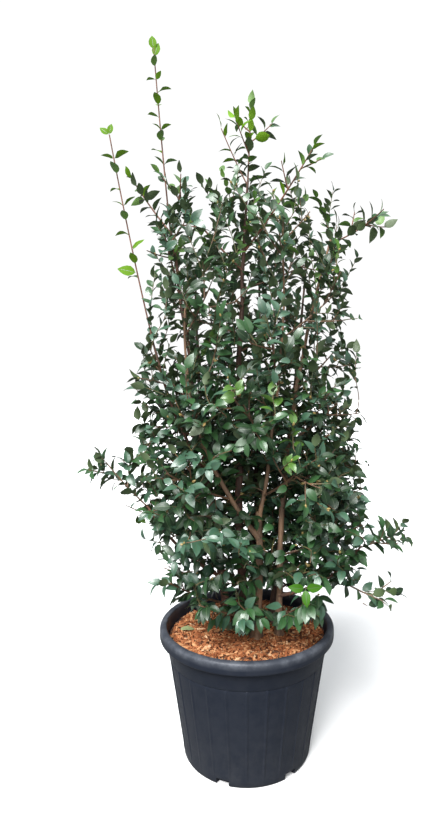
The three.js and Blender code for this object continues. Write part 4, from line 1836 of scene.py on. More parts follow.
# ---- mulch
@dataclass
class MulchBed:
    """The uneven bed of bark mulch: a rough ground with many split chips lying on it."""

    top: float = 0.298
    depth: float = 0.026
    radius: float = 0.2095
    rings: int = 34
    sides: int = 120
    unevenness: float = 0.0035
    chip_count: int = 4600
    chip_length: Span = (0.008, 0.028)
    chip_width: Span = (0.0028, 0.0080)
    chip_thickness: Span = (0.0012, 0.0040)
    tone_shares: tuple[float, ...] = (0.35, 0.27, 0.19, 0.05, 0.14)
    seed: int = 521

    def wall(self, height: float) -> float:
        """Returns how far the bed reaches at a height inside the pot."""
        return min(self.radius, mix(0.162, 0.213, height / 0.294) - 0.0064)

    def ground(self, points: Points) -> Points:
        """Works out the ground's height, a little hollow towards the pot.

        Args:
            points: Points on the plane.

        Returns:
            The height at each.
        """
        flat = np.concatenate([points, np.zeros((*points.shape[:-1], 1))], -1)
        slow = Waves(self.seed, 0.110).at(flat)
        quick = Waves(self.seed + 1, 0.024).at(flat)
        away = np.linalg.norm(points, axis=-1) / self.radius
        return self.top - 0.004 + self.unevenness * (0.8 * slow + 0.35 * quick) + 0.004 * (1 - away ** 2)

    def build(self) -> list[Piece]:
        """Builds and dresses the ground and the chips.

        Returns:
            The two pieces.
        """
        return [self.build_ground(), self.build_chips()]

    def build_ground(self) -> Piece:
        """Builds the rough ground down to the potting soil.

        Returns:
            The piece.
        """
        angles = np.arange(self.sides) * 2 * math.pi / self.sides
        circle = np.stack([np.cos(angles), np.sin(angles)], -1)
        bottom = self.top - self.depth + 0.0004
        level = np.full((self.sides, 1), bottom)
        rings = [np.concatenate([circle * 0.02, level], -1), np.concatenate([circle * self.wall(bottom), level], -1)]
        for share in np.linspace(1, 0.03, self.rings):
            flat = circle * self.radius * share
            reach = np.minimum(1.0, self.wall(self.top - 0.012) / (self.radius * share))
            rings.append(np.concatenate([flat * reach, self.ground(flat)[:, None]], -1))
        parts = MeshParts()
        parts.add_body(np.array(rings), [0, 0, bottom], [0, 0, float(self.ground(np.zeros((1, 2)))[0])])
        return dress_piece("mulch_ground", parts, [MULCH_BED], ["mulch"])

    def build_chips(self) -> Piece:
        """Scatters the chips: each a split flake with slanting ends, some leaning on others.

        Returns:
            The piece.
        """
        draws = np.random.default_rng(self.seed)
        count = self.chip_count
        length = draws.uniform(*self.chip_length, count) * draws.uniform(0.7, 1.0, count)
        width = np.minimum(draws.uniform(*self.chip_width, count), 0.75 * length)
        thickness = draws.uniform(*self.chip_thickness, count)
        reach = (self.radius - 0.012) * np.sqrt(draws.uniform(0, 1, count))
        turn = draws.uniform(0, 2 * math.pi, count)
        flat = np.stack([reach * np.cos(turn), reach * np.sin(turn)], -1)
        height = self.ground(flat) + draws.uniform(-0.001, 0.0055, count)
        heading = draws.uniform(0, 2 * math.pi, count)
        lean = draws.normal(0, 0.28, count)
        roll = draws.normal(0, 0.30, count)
        along = np.stack([np.cos(heading) * np.cos(lean), np.sin(heading) * np.cos(lean), np.sin(lean)], -1)
        across = np.stack([-np.sin(heading), np.cos(heading), np.zeros(count)], -1)
        upward = np.cross(along, across)
        across, upward = (across * np.cos(roll)[:, None] + upward * np.sin(roll)[:, None],
                          upward * np.cos(roll)[:, None] - across * np.sin(roll)[:, None])
        box = np.array([[x, y, z] for x in (-1, 1) for y in (-1, 1) for z in (-1, 1)], float)
        shape = box[None] * draws.uniform(0.55, 1.0, (count, 8, 3))
        shape[..., 0] += box[None, :, 1] * draws.uniform(-0.25, 0.25, (count, 1))
        half = np.stack([length, width, thickness], -1)[:, None] / 2
        local = shape * half
        points = (np.concatenate([flat, height[:, None]], -1)[:, None] + local[..., 0:1] * along[:, None]
                  + local[..., 1:2] * across[:, None] + local[..., 2:3] * upward[:, None])
        outside = np.linalg.norm(points[..., :2], axis=-1).max(1) > self.wall(self.top - 0.005)
        points = points[~outside]
        faces = np.array([[0, 1, 3, 2], [4, 6, 7, 5], [0, 4, 5, 1], [2, 3, 7, 6], [0, 2, 6, 4], [1, 5, 7, 3]])
        tones = draws.choice(len(self.tone_shares), count, p=self.tone_shares)[~outside]
        parts = MeshParts()
        start = parts.add_points(points)
        every = start + 8 * np.arange(len(points))[:, None, None] + faces[None]
        parts.add_faces(every.reshape(-1, 4), np.repeat(tones, len(faces)))
        return dress_piece("mulch_chips", parts, [tone.value for tone in ChipTone], ["mulch"])


# ---- bark
# The leader and the stems at the back take the dark bark, which paints their shade; the rest keep their own tones.
LIMB_BARKS = {
    "stem_leader": BarkTone.DARK,
    "bough_front_left": BarkTone.TAN,
    "stem_front": BarkTone.TAN,
    "stem_right": BarkTone.TAN,
    "stem_back": BarkTone.DARK,
    "stem_back_left": BarkTone.DARK,
    "stem_back_right": BarkTone.DARK,
    "bough_front_right": BarkTone.TAN,
}


@dataclass
class BarkLimbs:
    """The stems and boughs with the relief of their bark, a collar where a bough leaves, and a cut stub."""

    limbs: list[Limb]
    step_length: float = 0.006
    sides: int = 18
    collar_length: float = 0.014
    collar_swell: float = 0.55
    wander: float = 0.30
    wander_limit: float = 0.0025
    wander_wave: float = 0.16
    wander_fade: float = 0.05
    ridge_height: float = 0.075
    ridge_stretch: Place = (1.0, 1.0, 0.22)
    flare_lobes: int = 4
    flare_lobe_height: float = 0.16

    def relief(self, number: int, limb: Limb) -> Callable[[Points, Points], Points]:
        """Makes the function that gives a limb's bark relief.

        Args:
            number: The limb's number, which seeds the relief.
            limb: The limb.

        Returns:
            A function from surface points and angles to the share by which the bark stands out.
        """
        coarse = Waves(100 + number, 0.030)
        fine = Waves(200 + number, 0.009)

        def stand_out(points: Points, angles: Points) -> Points:
            """Works out the relief of the bark.

            Args:
                points: Points on the surface.
                angles: Their angles round the limb.

            Returns:
                The share by which the bark stands out at each point.
            """
            along = points * np.array(self.ridge_stretch)
            bark = self.ridge_height * (0.6 * coarse.at(along) + 0.5 * fine.at(along))
            if limb.on:
                return bark
            near_foot = np.exp((FOOT_LEVEL - points[..., 2]) / (0.8 * GROWTH.flare_height))
            return bark + self.flare_lobe_height * near_foot * np.sin(self.flare_lobes * angles + number)

        return stand_out

    def build_limb(self, number: int, limb: Limb) -> Piece:
        """Builds and dresses one stem or bough.

        Args:
            number: The limb's number.
            limb: The limb.

        Returns:
            The piece.
        """
        path, radii = limb.outline(int(math.dist(limb.start, limb.end) / self.step_length))
        along = travelled(path)
        offset = np.stack([Waves(300 + number, self.wander_wave).at(path),
                           Waves(400 + number, self.wander_wave).at(path), np.zeros(len(path))], -1)
        fade = np.minimum(1, np.minimum(along, along[-1] - along) / self.wander_fade)
        path = path + offset * (fade * np.minimum(self.wander_limit, self.wander * radii))[:, None]
        if limb.on:
            radii = radii * (1 + self.collar_swell * np.exp(-along / self.collar_length))
        parts = MeshParts()
        add_tube(parts, path, radii, self.sides, 0, self.relief(number, limb), 1)
        tone = LIMB_BARKS.get(limb.name, BarkTone.RUSSET)
        return dress_piece(f"bark_{limb.name}", parts, [tone.value, CUT_WOOD], [limb.name])

    def build(self) -> list[Piece]:
        """Builds every stem and bough and returns the pieces."""
        return [self.build_limb(number, limb) for number, limb in enumerate(self.limbs)]


# ---- leaves
@dataclass(frozen=True)
class LeafShape:
    """One leaf outline with its fold along the midrib, its curl towards the tip and its twist."""

    width: float
    fold: float
    curl: float
    twist: float
    wave: float

    STATIONS = (0.09, 0.19, 0.36, 0.56, 0.75, 0.90)
    HALF_WIDTHS = (0.030, 0.60, 0.96, 0.95, 0.66, 0.26)
    COLUMNS = (-1.0, -0.55, -0.045, 0.045, 0.55, 1.0)
    THICKNESS = 0.011

    def points(self) -> Points:
        """Works out the points of a leaf of length one: rings of seven, then the base and the tip.

        Returns:
            The points: along the leaf, across it and out of its upper face.
        """
        rings = []
        for number, (along, half) in enumerate(zip(self.STATIONS, self.HALF_WIDTHS)):
            half_width = half * self.width / 2
            lift = self.wave * math.sin(2.2 * number) * half
            turn = self.twist * along
            ring = []
            for column in self.COLUMNS:
                rise = math.tan(self.fold) * abs(column) * half_width + lift * column * self.width * 0.5
                ring.append((column * half_width, rise + self.THICKNESS * (1 - column * column)))
            ring.append((0.0, -self.THICKNESS))
            for across, rise in ring:
                rings.append((along, across * math.cos(turn) - rise * math.sin(turn),
                              across * math.sin(turn) + rise * math.cos(turn)))
        points = np.array([*rings, (0.0, 0.0, 0.0), (1.0, 0.0, 0.0)])
        turned = self.curl * points[:, 0]
        points[:, 2] = points[:, 2] * np.cos(2 * turned) + 0.12 * points[:, 0] - points[:, 0] * np.sin(turned)
        points[:, 0] *= np.cos(turned)
        return points

    @classmethod
    def faces(cls) -> tuple[Points, Points, Points, Points]:
        """Lists the faces with what they show: 0 the blade, 1 the underside, 2 the midrib.

        Returns:
            The quads, what each shows, the triangles, and what each shows.
        """
        columns = len(cls.COLUMNS)
        size = columns + 1
        quads, quad_parts, triangles, triangle_parts = [], [], [], []
        order = [*range(columns), columns]
        shows = [2 if column == 2 else 0 for column in range(columns - 1)] + [1, 1]
        count = len(cls.STATIONS)
        base, tip = count * size, count * size + 1
        for column, part in enumerate(shows):
            left, right = order[column], order[(column + 1) % size]
            for ring in range(count - 1):
                near, far = ring * size, (ring + 1) * size
                corners = (near + right, near + left, far + left, far + right)
                quads.append(corners if part != 1 else corners[1:] + corners[:1])
                quad_parts.append(part)
            triangles.append((base, left, right))
            triangle_parts.append(part or 2)
            last = (count - 1) * size
            triangles.append((last + right, last + left, tip))
            triangle_parts.append(part)
        return np.array(quads), np.array(quad_parts), np.array(triangles), np.array(triangle_parts)


LEAF_SHAPES = (
    LeafShape(0.48, 0.20, 0.34, 0.10, 0.05),
    LeafShape(0.46, 0.30, 0.46, -0.16, 0.08),
    LeafShape(0.50, 0.14, 0.24, 0.18, 0.08),
    LeafShape(0.44, 0.34, 0.58, 0.10, 0.03),
    LeafShape(0.49, 0.22, 0.40, -0.20, 0.08),
    LeafShape(0.47, 0.12, 0.50, 0.05, 0.06),
)


@dataclass
class Foliage:
    """The twigs, leaves and buds of the crown, grown on from the coarse blades of the seeded rule."""

    crown: GrowthRule
    bright_spray: Points = field(default_factory=lambda: np.array([0.133, -0.210, 0.490]))
    bright_ways: tuple[Place, ...] = ((-1.0, -0.35, 0.16), (0.95, -0.35, 0.22), (0.06, -0.50, -0.85))
    bright_length: float = 0.043
    fallen_leaf: Points = field(default_factory=lambda: np.array([-0.180, -0.010, 0.3045]))
    fallen_way: Place = (1.0, 0.35, 0.02)
    fallen_length: float = 0.046
    fresh_level: float = 1.15
    fresh_rise: float = 0.30
    lively_level: float = 1.40
    lively_rise: float = 0.25
    twig_sides: int = 5
    bud_sides: int = 6
    bud_plumpness: float = 0.30
    bud_profile: tuple[Span, ...] = ((0.0, 0.22), (0.14, 0.62), (0.34, 0.98), (0.56, 0.94), (0.78, 0.60),
                                     (0.93, 0.26), (1.0, 0.06))
    # The leaves at the tips of the whips: place along the stem, way across and up, and length.
    whip_leaves: dict[str, tuple[tuple[float, ...], ...]] = field(default_factory=lambda: {
        "shoot_whip_tall": ((0.985, -0.14, 1.0, 0.044), (0.945, 0.22, 0.9, 0.044)),
        "shoot_whip_left": ((1.0, -0.75, 0.6, 0.034), (1.0, 0.15, 1.0, 0.032), (0.33, -1.0, 0.25, 0.056)),
    })
    leaves: dict[Zone, list[Leaf]] = field(default_factory=lambda: {zone: [] for zone in Zone})
    twigs: dict[Zone, list[Twig]] = field(default_factory=lambda: {zone: [] for zone in Zone})
    buds: list[Bud] = field(default_factory=list)
    taken: SpacedPlaces = field(default_factory=lambda: SpacedPlaces(FINE.leaf_middle_gap))
    stream: SeededStream = field(default_factory=lambda: SeededStream(FINE.detail_seed))

    # ---- growth
    def grow(self) -> None:
        """Grows the twigs, leaves and buds of every mass."""
        for mass in self.crown.masses:
            self.grow_frame_twigs(mass)
            for blade in mass.blades:
                if not mass.is_shoot:
                    self.grow_spray(mass, blade)
                elif mass.is_kind("shoot_whip") and blade.base[2] < mass.stem[-1][2] - FINE.whip_bare_top:
                    self.grow_single_leaf(mass, blade)
            if mass.is_kind("shoot_whip"):
                self.finish_whip(mass)
            elif not mass.is_kind("foliage"):
                self.grow_shoot(mass)
        self.add_bright_spray()
        self.fill_gaps()
        self.leaves[Zone.SKIRT].append(Leaf(self.fallen_leaf, unit(np.array(self.fallen_way)), UP,
                                            self.fallen_length, LeafTone.FALLEN.number, 2))

    def add_twig(self, mass: Mass, path: Points, radii: Span, tone: TwigTone) -> None:
        """Adds one fine twig to a mass's zone.

        Args:
            mass: The mass.
            path: The twig's middle line.
            radii: Its radius at the start and at the tip.
            tone: Its finish.
        """
        self.twigs[mass.zone].append(Twig(path, radii, tone.number))

    def add_facing_leaf(self, mass: Mass, base: Points, way: Points, length: float, tone: LeafTone,
                        shape: int, rise: float) -> None:
        """Adds a leaf that shows its upper face to the front.

        Args:
            mass: The mass that it belongs to.
            base: Where it stands.
            way: The way it points.
            length: Its length.
            tone: Its tone.
            shape: The number of its shape.
            rise: How far its face looks up.
        """
        direction = unit(way)
        normal = square_to(np.array([0.0, -1.0, rise]), direction)
        self.leaves[mass.zone].append(Leaf(base, direction, normal, length, tone.number, shape))

    def add_bright_spray(self) -> None:
        """Adds the one spray of bright young leaves low in front, on a twig of its own."""
        mass = min((mass for mass in self.crown.masses if not mass.is_shoot),
                   key=lambda mass: float(np.linalg.norm(mass.stem - self.bright_spray, axis=1).min()))
        root = mass.stem[np.linalg.norm(mass.stem - self.bright_spray, axis=1).argmin()]
        path = curve(root, (root + self.bright_spray) / 2 + 0.01 * UP, self.bright_spray, FINE.twig_points)
        self.add_twig(mass, path, FINE.spray_radii, TwigTone.GREEN)
        for number, way in enumerate(self.bright_ways):
            shape = 2 * (number % 2)
            self.add_facing_leaf(mass, self.bright_spray, np.array(way), self.bright_length, LeafTone.BRIGHT,
                                 shape, 0.12)
            self.taken.add(self.bright_spray + unit(np.array(way)) * 0.02)

    def fill_gaps(self) -> None:
        """Carries the crown on to finer twigs: one to each place inside its reach that is still open."""
        bearers = BearerPlaces(FINE.bearer_pitch)
        for limb in self.crown.limbs:
            path, _ = limb.outline(FINE.bearer_steps)
            bearers.add(path[path[:, 2] > FINE.fill_heights[0]])
        for mass in self.crown.masses:
            if not mass.is_shoot:
                for path in (mass.stem, *mass.twigs):
                    bearers.add(path)
        waiting = self.open_places()
        count = len(waiting)
        for _ in range(FINE.fill_rounds):
            waiting.sort(key=lambda target: bearers.nearest(target, by_height(target[2], FINE.twig_rises))[2])
            waiting = [target for target in waiting if not self.reach_for(target, bearers)]
        LOG.info("filled %d of %d open places", count - len(waiting), count)

    def open_places(self) -> list[Points]:
        """Scatters places over the crown, away from the coarse blades and from each other.

        Returns:
            The places inside the crown's reach that are open, then those at its top.
        """
        stream = SeededStream(FINE.fill_seed)
        centres = [blade.middle() for mass in self.crown.masses for blade in mass.blades]
        taken = SpacedPlaces(FINE.fill_spacings[1], centres)
        targets = []
        widest = max(*REACH_LEFT, *REACH_RIGHT, *REACH_DEPTH)
        lowest, highest = FINE.fill_heights
        for _ in range(FINE.fill_tries):
            target = np.array([stream.between(-widest, widest), stream.between(-widest, widest), 0.0])
            target[2] = stream.between(FINE.fill_back_start if target[1] > 0 else lowest, highest)
            out = crown_share(target, -FINE.fill_inset)
            spacing = by_height(target[2], FINE.fill_spacings)
            if target[1] > 0.02 and target[2] < FINE.heights[1]:
                spacing *= FINE.back_spacing
            under_dome = target[2] <= highest - FINE.dome_fall * target[1] ** 2
            if not under_dome or not above_floor(target - 0.02 * UP) or not FINE.fill_inner < out < 1:
                continue
            if not in_sight_window(target) and taken.take(target, spacing):
                targets.append(target)
        return targets + [np.array(tip) for tip in FINE.top_tips]

    def reach_for(self, target: Points, bearers: BearerPlaces) -> bool:
        """Grows a fine leafy twig from the nearest bearer to a place.

        Args:
            target: The place.
            bearers: The places that it may start from.

        Returns:
            True where it has grown.
        """
        start, onward, _ = bearers.nearest(target, by_height(target[2], FINE.twig_rises))
        length = math.dist(start, target)
        if not FINE.twig_reach[0] < length < FINE.twig_reach[1]:
            return False
        way = unit(onward + FINE.twig_straight * (target - start) / length + FINE.twig_up * UP)
        control = start + (FINE.twig_bend * length) * way
        path = curve(start, control, target, FINE.twig_points)
        if (self.crown.limb_gaps(path[2:]) < FINE.limb_gap).any() or in_sight_window(path).any():
            return False
        distance, _ = self.crown.stems.closest(target[None, :])
        order = np.argsort(distance[0])
        mass = next(self.crown.masses[i] for i in order if not self.crown.masses[i].is_shoot)
        bearers.add(path)
        leafy = min(FINE.most_leafy * length, by_height(target[2], FINE.leafy_lengths))
        count = max(FINE.spray_leaves[0], round(leafy / FINE.fill_pitch) + 1)
        self.grow_leafy_twig(mass, path, count, leafy / length)
        return True

    def grow_frame_twigs(self, mass: Mass) -> None:
        """Adds the mass's own stem and side twigs, gently bent.

        Args:
            mass: The mass.
        """
        tone = TwigTone.REDDISH if mass.is_shoot else TwigTone.WOODY
        path = sagging_curve(mass.stem[0], mass.stem[-1], STEM_SAG, 10)
        self.add_twig(mass, path, (mass.radius, FINE.stem_tip_radius), tone)
        for start, end in self.side_twigs(mass):
            self.add_twig(mass, sagging_curve(start, end, TWIG_SAG, 5), FINE.twig_radii, tone)

    @staticmethod
    def side_twigs(mass: Mass) -> list[Points]:
        """Lists a mass's side twigs, on the leader without those that overtop it and with one more.

        Args:
            mass: The mass.

        Returns:
            The two ends of each twig.
        """
        if mass.name == LOW_RIGHT:
            return [twig for twig in mass.twigs if twig[1][2] > 0.40]
        if mass.name != "shoot_leader":
            return mass.twigs
        extra = np.array([place_on(mass.stem, 0.02)[0], FINE.leader_side_tip])
        return [twig for twig in mass.twigs if twig[1][2] < mass.stem[-1][2] + 0.005] + [extra]

    # ---- leaves
    @staticmethod
    def lift(mass: Mass) -> float:
        """Tells how much more than usual the leaves of a mass point up.

        Args:
            mass: The mass.

        Returns:
            The rise that is added to each leaf's way, below zero for leaves that hang.
        """
        if mass.is_kind("spray_front"):
            return -FINE.front_droop
        return FINE.low_right_lift if mass.name == LOW_RIGHT else 0.0

    def pick_tone(self, mass: Mass, place: Points) -> int:
        """Deals out one tone to a spray, fresher towards the top of the crown.

        Args:
            mass: The spray's mass.
            place: Where the spray stands.

        Returns:
            The tone's number.
        """
        draw = self.stream.next()
        lively = min(1.0, max(0.0, (place[2] - self.lively_level) / self.lively_rise))
        fresh = 0.02 + 0.13 * min(1.0, max(0.0, (place[2] - self.fresh_level) / self.fresh_rise))
        if mass.is_kind("shoot_whip"):
            shares = ((LeafTone.YOUNG, 0.62), (LeafTone.FRESH, 1.0))
        elif mass.is_shoot:
            shares = ((LeafTone.YOUNG, 0.60 * lively), (LeafTone.FRESH, 0.40 - 0.10 * lively), (LeafTone.MIDDLE, 1.0))
        else:
            # Sprays are also dealt the paler bluish tone, which partly paints sheen.
            shares = ((LeafTone.FRESH, 0.0 if mass.is_kind("spray") else fresh), (LeafTone.BLUISH, 0.31),
                      (LeafTone.MIDDLE, 0.31), (LeafTone.DEEP, 1.0))
        for tone, share in shares:
            if draw < share:
                return tone.number
            draw -= share
        return shares[-1][0].number

    def scatter(self, reach: float) -> float:
        """Draws a number that lies up to a reach below or above zero."""
        return self.stream.between(-reach, reach)

    def pick_shape(self) -> int:
        """Draws the number of a leaf's shape."""
        return int(self.stream.next() * len(LEAF_SHAPES))

    def rank_side(self, base: Points, onward: Points, roll: float) -> Points:
        """Works out the way that a leaf of a twig's two ranks stands out.

        Args:
            base: A place on the twig.
            onward: The way the twig goes on.
            roll: How far round the twig the leaf stands: half a turn from rank to rank.

        Returns:
            A level way for a twig that reaches out, and one round the crown for an upright twig, turned by the roll.
        """
        upright = abs(float(onward[2]))
        across = unit(cross(mix(UP, self.outward(base), upright * upright), onward) + TINY)
        return turned(across, cross(onward, across), roll)

    @staticmethod
    def outward(base: Points) -> Points:
        """Returns the level way from the crown's axis to a place."""
        return unit(np.array([base[0], base[1], 0.0]) + TINY)

    def leaf_normal(self, base: Points, direction: Points, onward: Points) -> Points:
        """Works out where a leaf's upper face looks: along its twig, up and outward, with some scatter.

        Args:
            base: Where the leaf stands.
            direction: The way it points.
            onward: The way its twig goes on.

        Returns:
            The face's normal.
        """
        scatter = np.array([self.stream.next() - 0.5 for _ in range(3)])
        normal = (FINE.face_onward * onward + FINE.face_up * UP + FINE.face_outward * self.outward(base)
                  + scatter)
        return square_to(normal, direction)

    def in_reach(self, mass: Mass, tips: Points) -> Points:
        """Tells which leaves keep within the crown's or their own shoot's reach.

        Args:
            mass: The leaves' mass.
            tips: The leaves' tips.

        Returns:
            True for each leaf that does.
        """
        if mass.is_kind("foliage"):
            return np.array([crown_share(tip, FINE.tip_allowance) < 1 for tip in tips])
        number = self.crown.masses.index(mass)
        return self.crown.stems.closest(tips)[0][:, number] < FINE.own_reach * mass.spread

    def keep_fitting(self, mass: Mass, leaves: list[Leaf]) -> list[Leaf]:
        """Keeps the leaves that are clear of the pot, the window, the limbs and other leaves.

        Args:
            mass: The leaves' mass.
            leaves: The leaves of one spray.

        Returns:
            The leaves that were kept.
        """
        middles = np.array([leaf.base + leaf.direction * (0.5 * leaf.length) for leaf in leaves])
        tips = np.array([leaf.base + leaf.direction * leaf.length for leaf in leaves])
        both = np.concatenate([middles, tips])
        hanging = np.tile([self.stream.next() < FINE.window_share for _ in leaves], 2)
        clearance = FINE.mulch_clearance if mass.is_kind("spray_front") else FINE.spray_clearance
        if mass.name == LOW_RIGHT:
            clearance = FINE.low_right_clearance
        fits = self.crown.clear_of_pot(both - clearance * UP) & (hanging | ~in_sight_window(both))
        if mass.is_kind("foliage"):
            fits &= above_floor(both)
        fits &= (self.crown.limb_gaps(both) > FINE.limb_gap).all(1)
        fits = fits.reshape(2, -1).all(0) & self.in_reach(mass, tips)
        kept = [leaf for leaf, middle, fit in zip(leaves, middles, fits) if fit and self.taken.take(middle)]
        self.leaves[mass.zone] += kept
        return kept

    def grow_single_leaf(self, mass: Mass, blade: Blade) -> None:
        """Grows one leaf straight on a long young shoot, or a pair of them.

        Args:
            mass: The shoot.
            blade: The coarse blade that it stands for.
        """
        length = self.stream.between(*FINE.whip_leaf_length)
        tone = self.pick_tone(mass, blade.base)
        along = unit(mass.stem[-1] - mass.stem[0])
        across = blade.direction - along * float(blade.direction @ along)
        partner = unit(blade.direction - 2 * across + self.stream.between(-0.2, 0.4) * along)
        leaves = [Leaf(blade.base, direction, self.leaf_normal(blade.base, direction, UP), length * scale, tone,
                       self.pick_shape())
                  for direction, scale in ((blade.direction, 1.0), (partner, 0.75))]
        pairs = self.stream.next() < FINE.whip_pair_share
        self.keep_fitting(mass, leaves if pairs else leaves[:1])

    def finish_whip(self, mass: Mass) -> None:
        """Adds the pair of leaves at the tip of a long whip and the long leaf half way up the left one.

        Args:
            mass: The whip.
        """
        for along, across, rise, length in self.whip_leaves[mass.name]:
            base, _ = place_on(mass.stem, min(TWIG_END, along))
            self.add_facing_leaf(mass, base, np.array([across, 0.0, rise]), length, LeafTone.YOUNG, 2, 0.1)

    def grow_shoot(self, mass: Mass) -> None:
        """Grows the leaves of an upright shoot: by turns along its stem and its side twigs, smaller upwards.

        Args:
            mass: The shoot.
        """
        on_stem, on_twig = FINE.shoot_starts
        for path, start in ((mass.stem, on_stem), *((twig, on_twig) for twig in self.side_twigs(mass))):
            count = max(3, round(float(travelled(path)[-1]) * (1 - start) / FINE.shoot_pitch))
            roll = 2 * math.pi * self.stream.next()
            leaves = []
            for i in range(count + 1):
                share = i / count
                base, onward = place_on(path, min(TWIG_END, mix(start, 1.0, share)))
                roll += math.pi + self.scatter(FINE.rank_scatter)
                side = self.rank_side(base, onward, roll)
                spread = math.radians(mix(*FINE.shoot_spreads, share ** 2) + self.scatter(FINE.shoot_spread_scatter))
                direction = unit(turned(onward, side, spread) + (self.lift(mass) or FINE.shoot_rise) * UP)
                normal = self.leaf_normal(base, direction, onward if i < count else side)
                length = self.stream.between(*FINE.shoot_leaf_length) * mix(*FINE.shoot_shrink, share)
                leaves.append(Leaf(base, direction, normal, length, self.pick_tone(mass, base), self.pick_shape()))
            self.keep_fitting(mass, leaves)

    def grow_spray(self, mass: Mass, blade: Blade) -> None:
        """Grows a spray of leaves on a fine twig in the place of a coarse blade.

        Args:
            mass: The spray's mass.
            blade: The coarse blade.
        """
        reach = max(blade.length - 0.8 * FINE.leaf_length[0], 0.35 * blade.length)
        end = blade.base + blade.direction * reach
        middle = (blade.base + end) / 2 + blade.normal * (FINE.spray_bow * reach * (self.stream.next() - 0.3))
        low, high = FINE.spray_leaves
        count = min(high, max(low, round(blade.length / FINE.leaf_pitch)))
        self.grow_leafy_twig(mass, curve(blade.base, middle, end, 4), count, FINE.spray_leafy)

    def grow_leafy_twig(self, mass: Mass, path: Points, count: int, leafy: float) -> None:
        """Grows a fine twig with leaves along its outer part, one of them at its tip.

        Args:
            mass: The mass that it belongs to.
            path: The twig's middle line.
            count: How many leaves.
            leafy: The share of the twig that bears leaves.
        """
        tone = self.pick_tone(mass, path[-1])
        twig_tone = TwigTone.WOODY if self.stream.next() < FINE.woody_share else TwigTone.GREEN
        leaf_length = self.stream.between(*FINE.leaf_length) * by_height(path[-1][2], FINE.leaf_scales)
        roll = self.scatter(FINE.first_roll)
        leaves = []
        for i in range(count):
            share = i / (count - 1)
            base, onward = place_on(path, min(TWIG_END, mix(1 - leafy, 1.0, share)))
            roll += math.pi + self.scatter(FINE.rank_scatter)
            side = self.rank_side(base, onward, roll)
            spread = mix(FINE.spread_at_base, FINE.spread_at_tip, share) + self.scatter(FINE.leafy_spread_scatter)
            spread = math.radians(spread)
            direction = turned(onward, side, spread)
            direction[2] += by_height(base[2], FINE.droops) + self.scatter(FINE.droop_scatter)
            direction[2] += self.lift(mass)
            direction = unit(direction)
            length = leaf_length * self.stream.between(*FINE.leafy_length_scatter)
            leaves.append(Leaf(base, direction, self.leaf_normal(base, direction, onward), length, tone,
                               self.pick_shape()))
        with_bud = self.stream.next() < FINE.bud_share
        kept = self.keep_fitting(mass, leaves)
        if not kept:
            return
        outermost = min(math.dist(leaf.base, path[-1]) for leaf in kept)
        end = max(FINE.shortest_end, 1 - outermost / travelled(path)[-1]) * (len(path) - 1)
        path = np.array([place_on(path, share)[0] for share in np.linspace(0, end / (len(path) - 1), len(path))])
        self.add_twig(mass, path, FINE.spray_radii, twig_tone)
        if with_bud and outermost < FINE.at_tip and mass.zone != Zone.SHOOTS:
            onward = unit(path[-1] - path[-2])
            for _ in range(1 + int(FINE.most_buds * self.stream.next() ** 2)):
                scatter = np.array([self.scatter(FINE.bud_scatter) for _ in range(3)])
                self.buds.append(Bud(path[-1], unit(onward + scatter), self.stream.between(*FINE.bud_length)))

    # ---- pieces
    def nodes_of(self, zone: Zone) -> list[str]:
        """Returns the names of the masses in a zone."""
        return [mass.name for mass in self.crown.masses if mass.zone is zone]

    def build_leaves(self, zone: Zone) -> Piece:
        """Builds and dresses the joined leaves of one zone.

        Args:
            zone: The zone.

        Returns:
            The piece.
        """
        parts = MeshParts()
        quads, quad_parts, triangles, triangle_parts = LeafShape.faces()
        for number, shape in enumerate(LEAF_SHAPES):
            leaves = [leaf for leaf in self.leaves[zone] if leaf.shape == number]
            if not leaves:
                continue
            local = shape.points()
            base, direction, normal = (np.array([getattr(leaf, name) for leaf in leaves])[:, None]
                                       for name in ("base", "direction", "normal"))
            length = np.array([leaf.length for leaf in leaves])[:, None, None]
            across = np.cross(normal, direction)
            points = base + length * (local[None, :, 0:1] * direction + local[None, :, 1:2] * across
                                      + local[None, :, 2:3] * normal)
            start = parts.add_points(points)
            firsts = start + len(local) * np.arange(len(leaves))[:, None, None]
            tones = np.array([leaf.tone for leaf in leaves])[:, None]
            unders = np.select([tones == LeafTone.YOUNG.number, tones == LeafTone.FRESH.number],
                               [LeafTone.UNDER_YOUNG.number, LeafTone.UNDER_FRESH.number], LeafTone.UNDERSIDE.number)
            for faces, shows in ((quads, quad_parts), (triangles, triangle_parts)):
                slots = np.choose(shows[None], [tones, unders, LeafTone.MIDRIB.number])
                parts.add_faces((firsts + faces[None]).reshape(-1, faces.shape[1]), slots.ravel())
        return dress_piece(f"leaves_{zone.value}", parts, [tone.value for tone in LeafTone],
                           self.nodes_of(zone))

    def build_twigs(self, zone: Zone) -> Piece:
        """Builds and dresses the joined twigs of one zone.

        Args:
            zone: The zone.

        Returns:
            The piece.
        """
        parts = MeshParts()
        for twig in self.twigs[zone]:
            radii = np.linspace(*twig.radii, len(twig.path))
            add_tube(parts, twig.path, radii, self.twig_sides, twig.tone)
        return dress_piece(f"twigs_{zone.value}", parts, [tone.value for tone in TwigTone],
                           self.nodes_of(zone))

    def build_buds(self) -> Piece:
        """Builds and dresses the joined flower buds: plump and pointed.

        Returns:
            The piece.
        """
        parts = MeshParts()
        for bud in self.buds:
            path = np.array([bud.base + bud.direction * (along * bud.length) for along, _ in self.bud_profile])
            radii = np.array([self.bud_plumpness * bud.length * wide for _, wide in self.bud_profile])
            add_tube(parts, path, radii, self.bud_sides, 0)
        return dress_piece("flower_buds", parts, [BUD_SCALES],
                           [mass.name for mass in self.crown.masses if not mass.is_shoot])

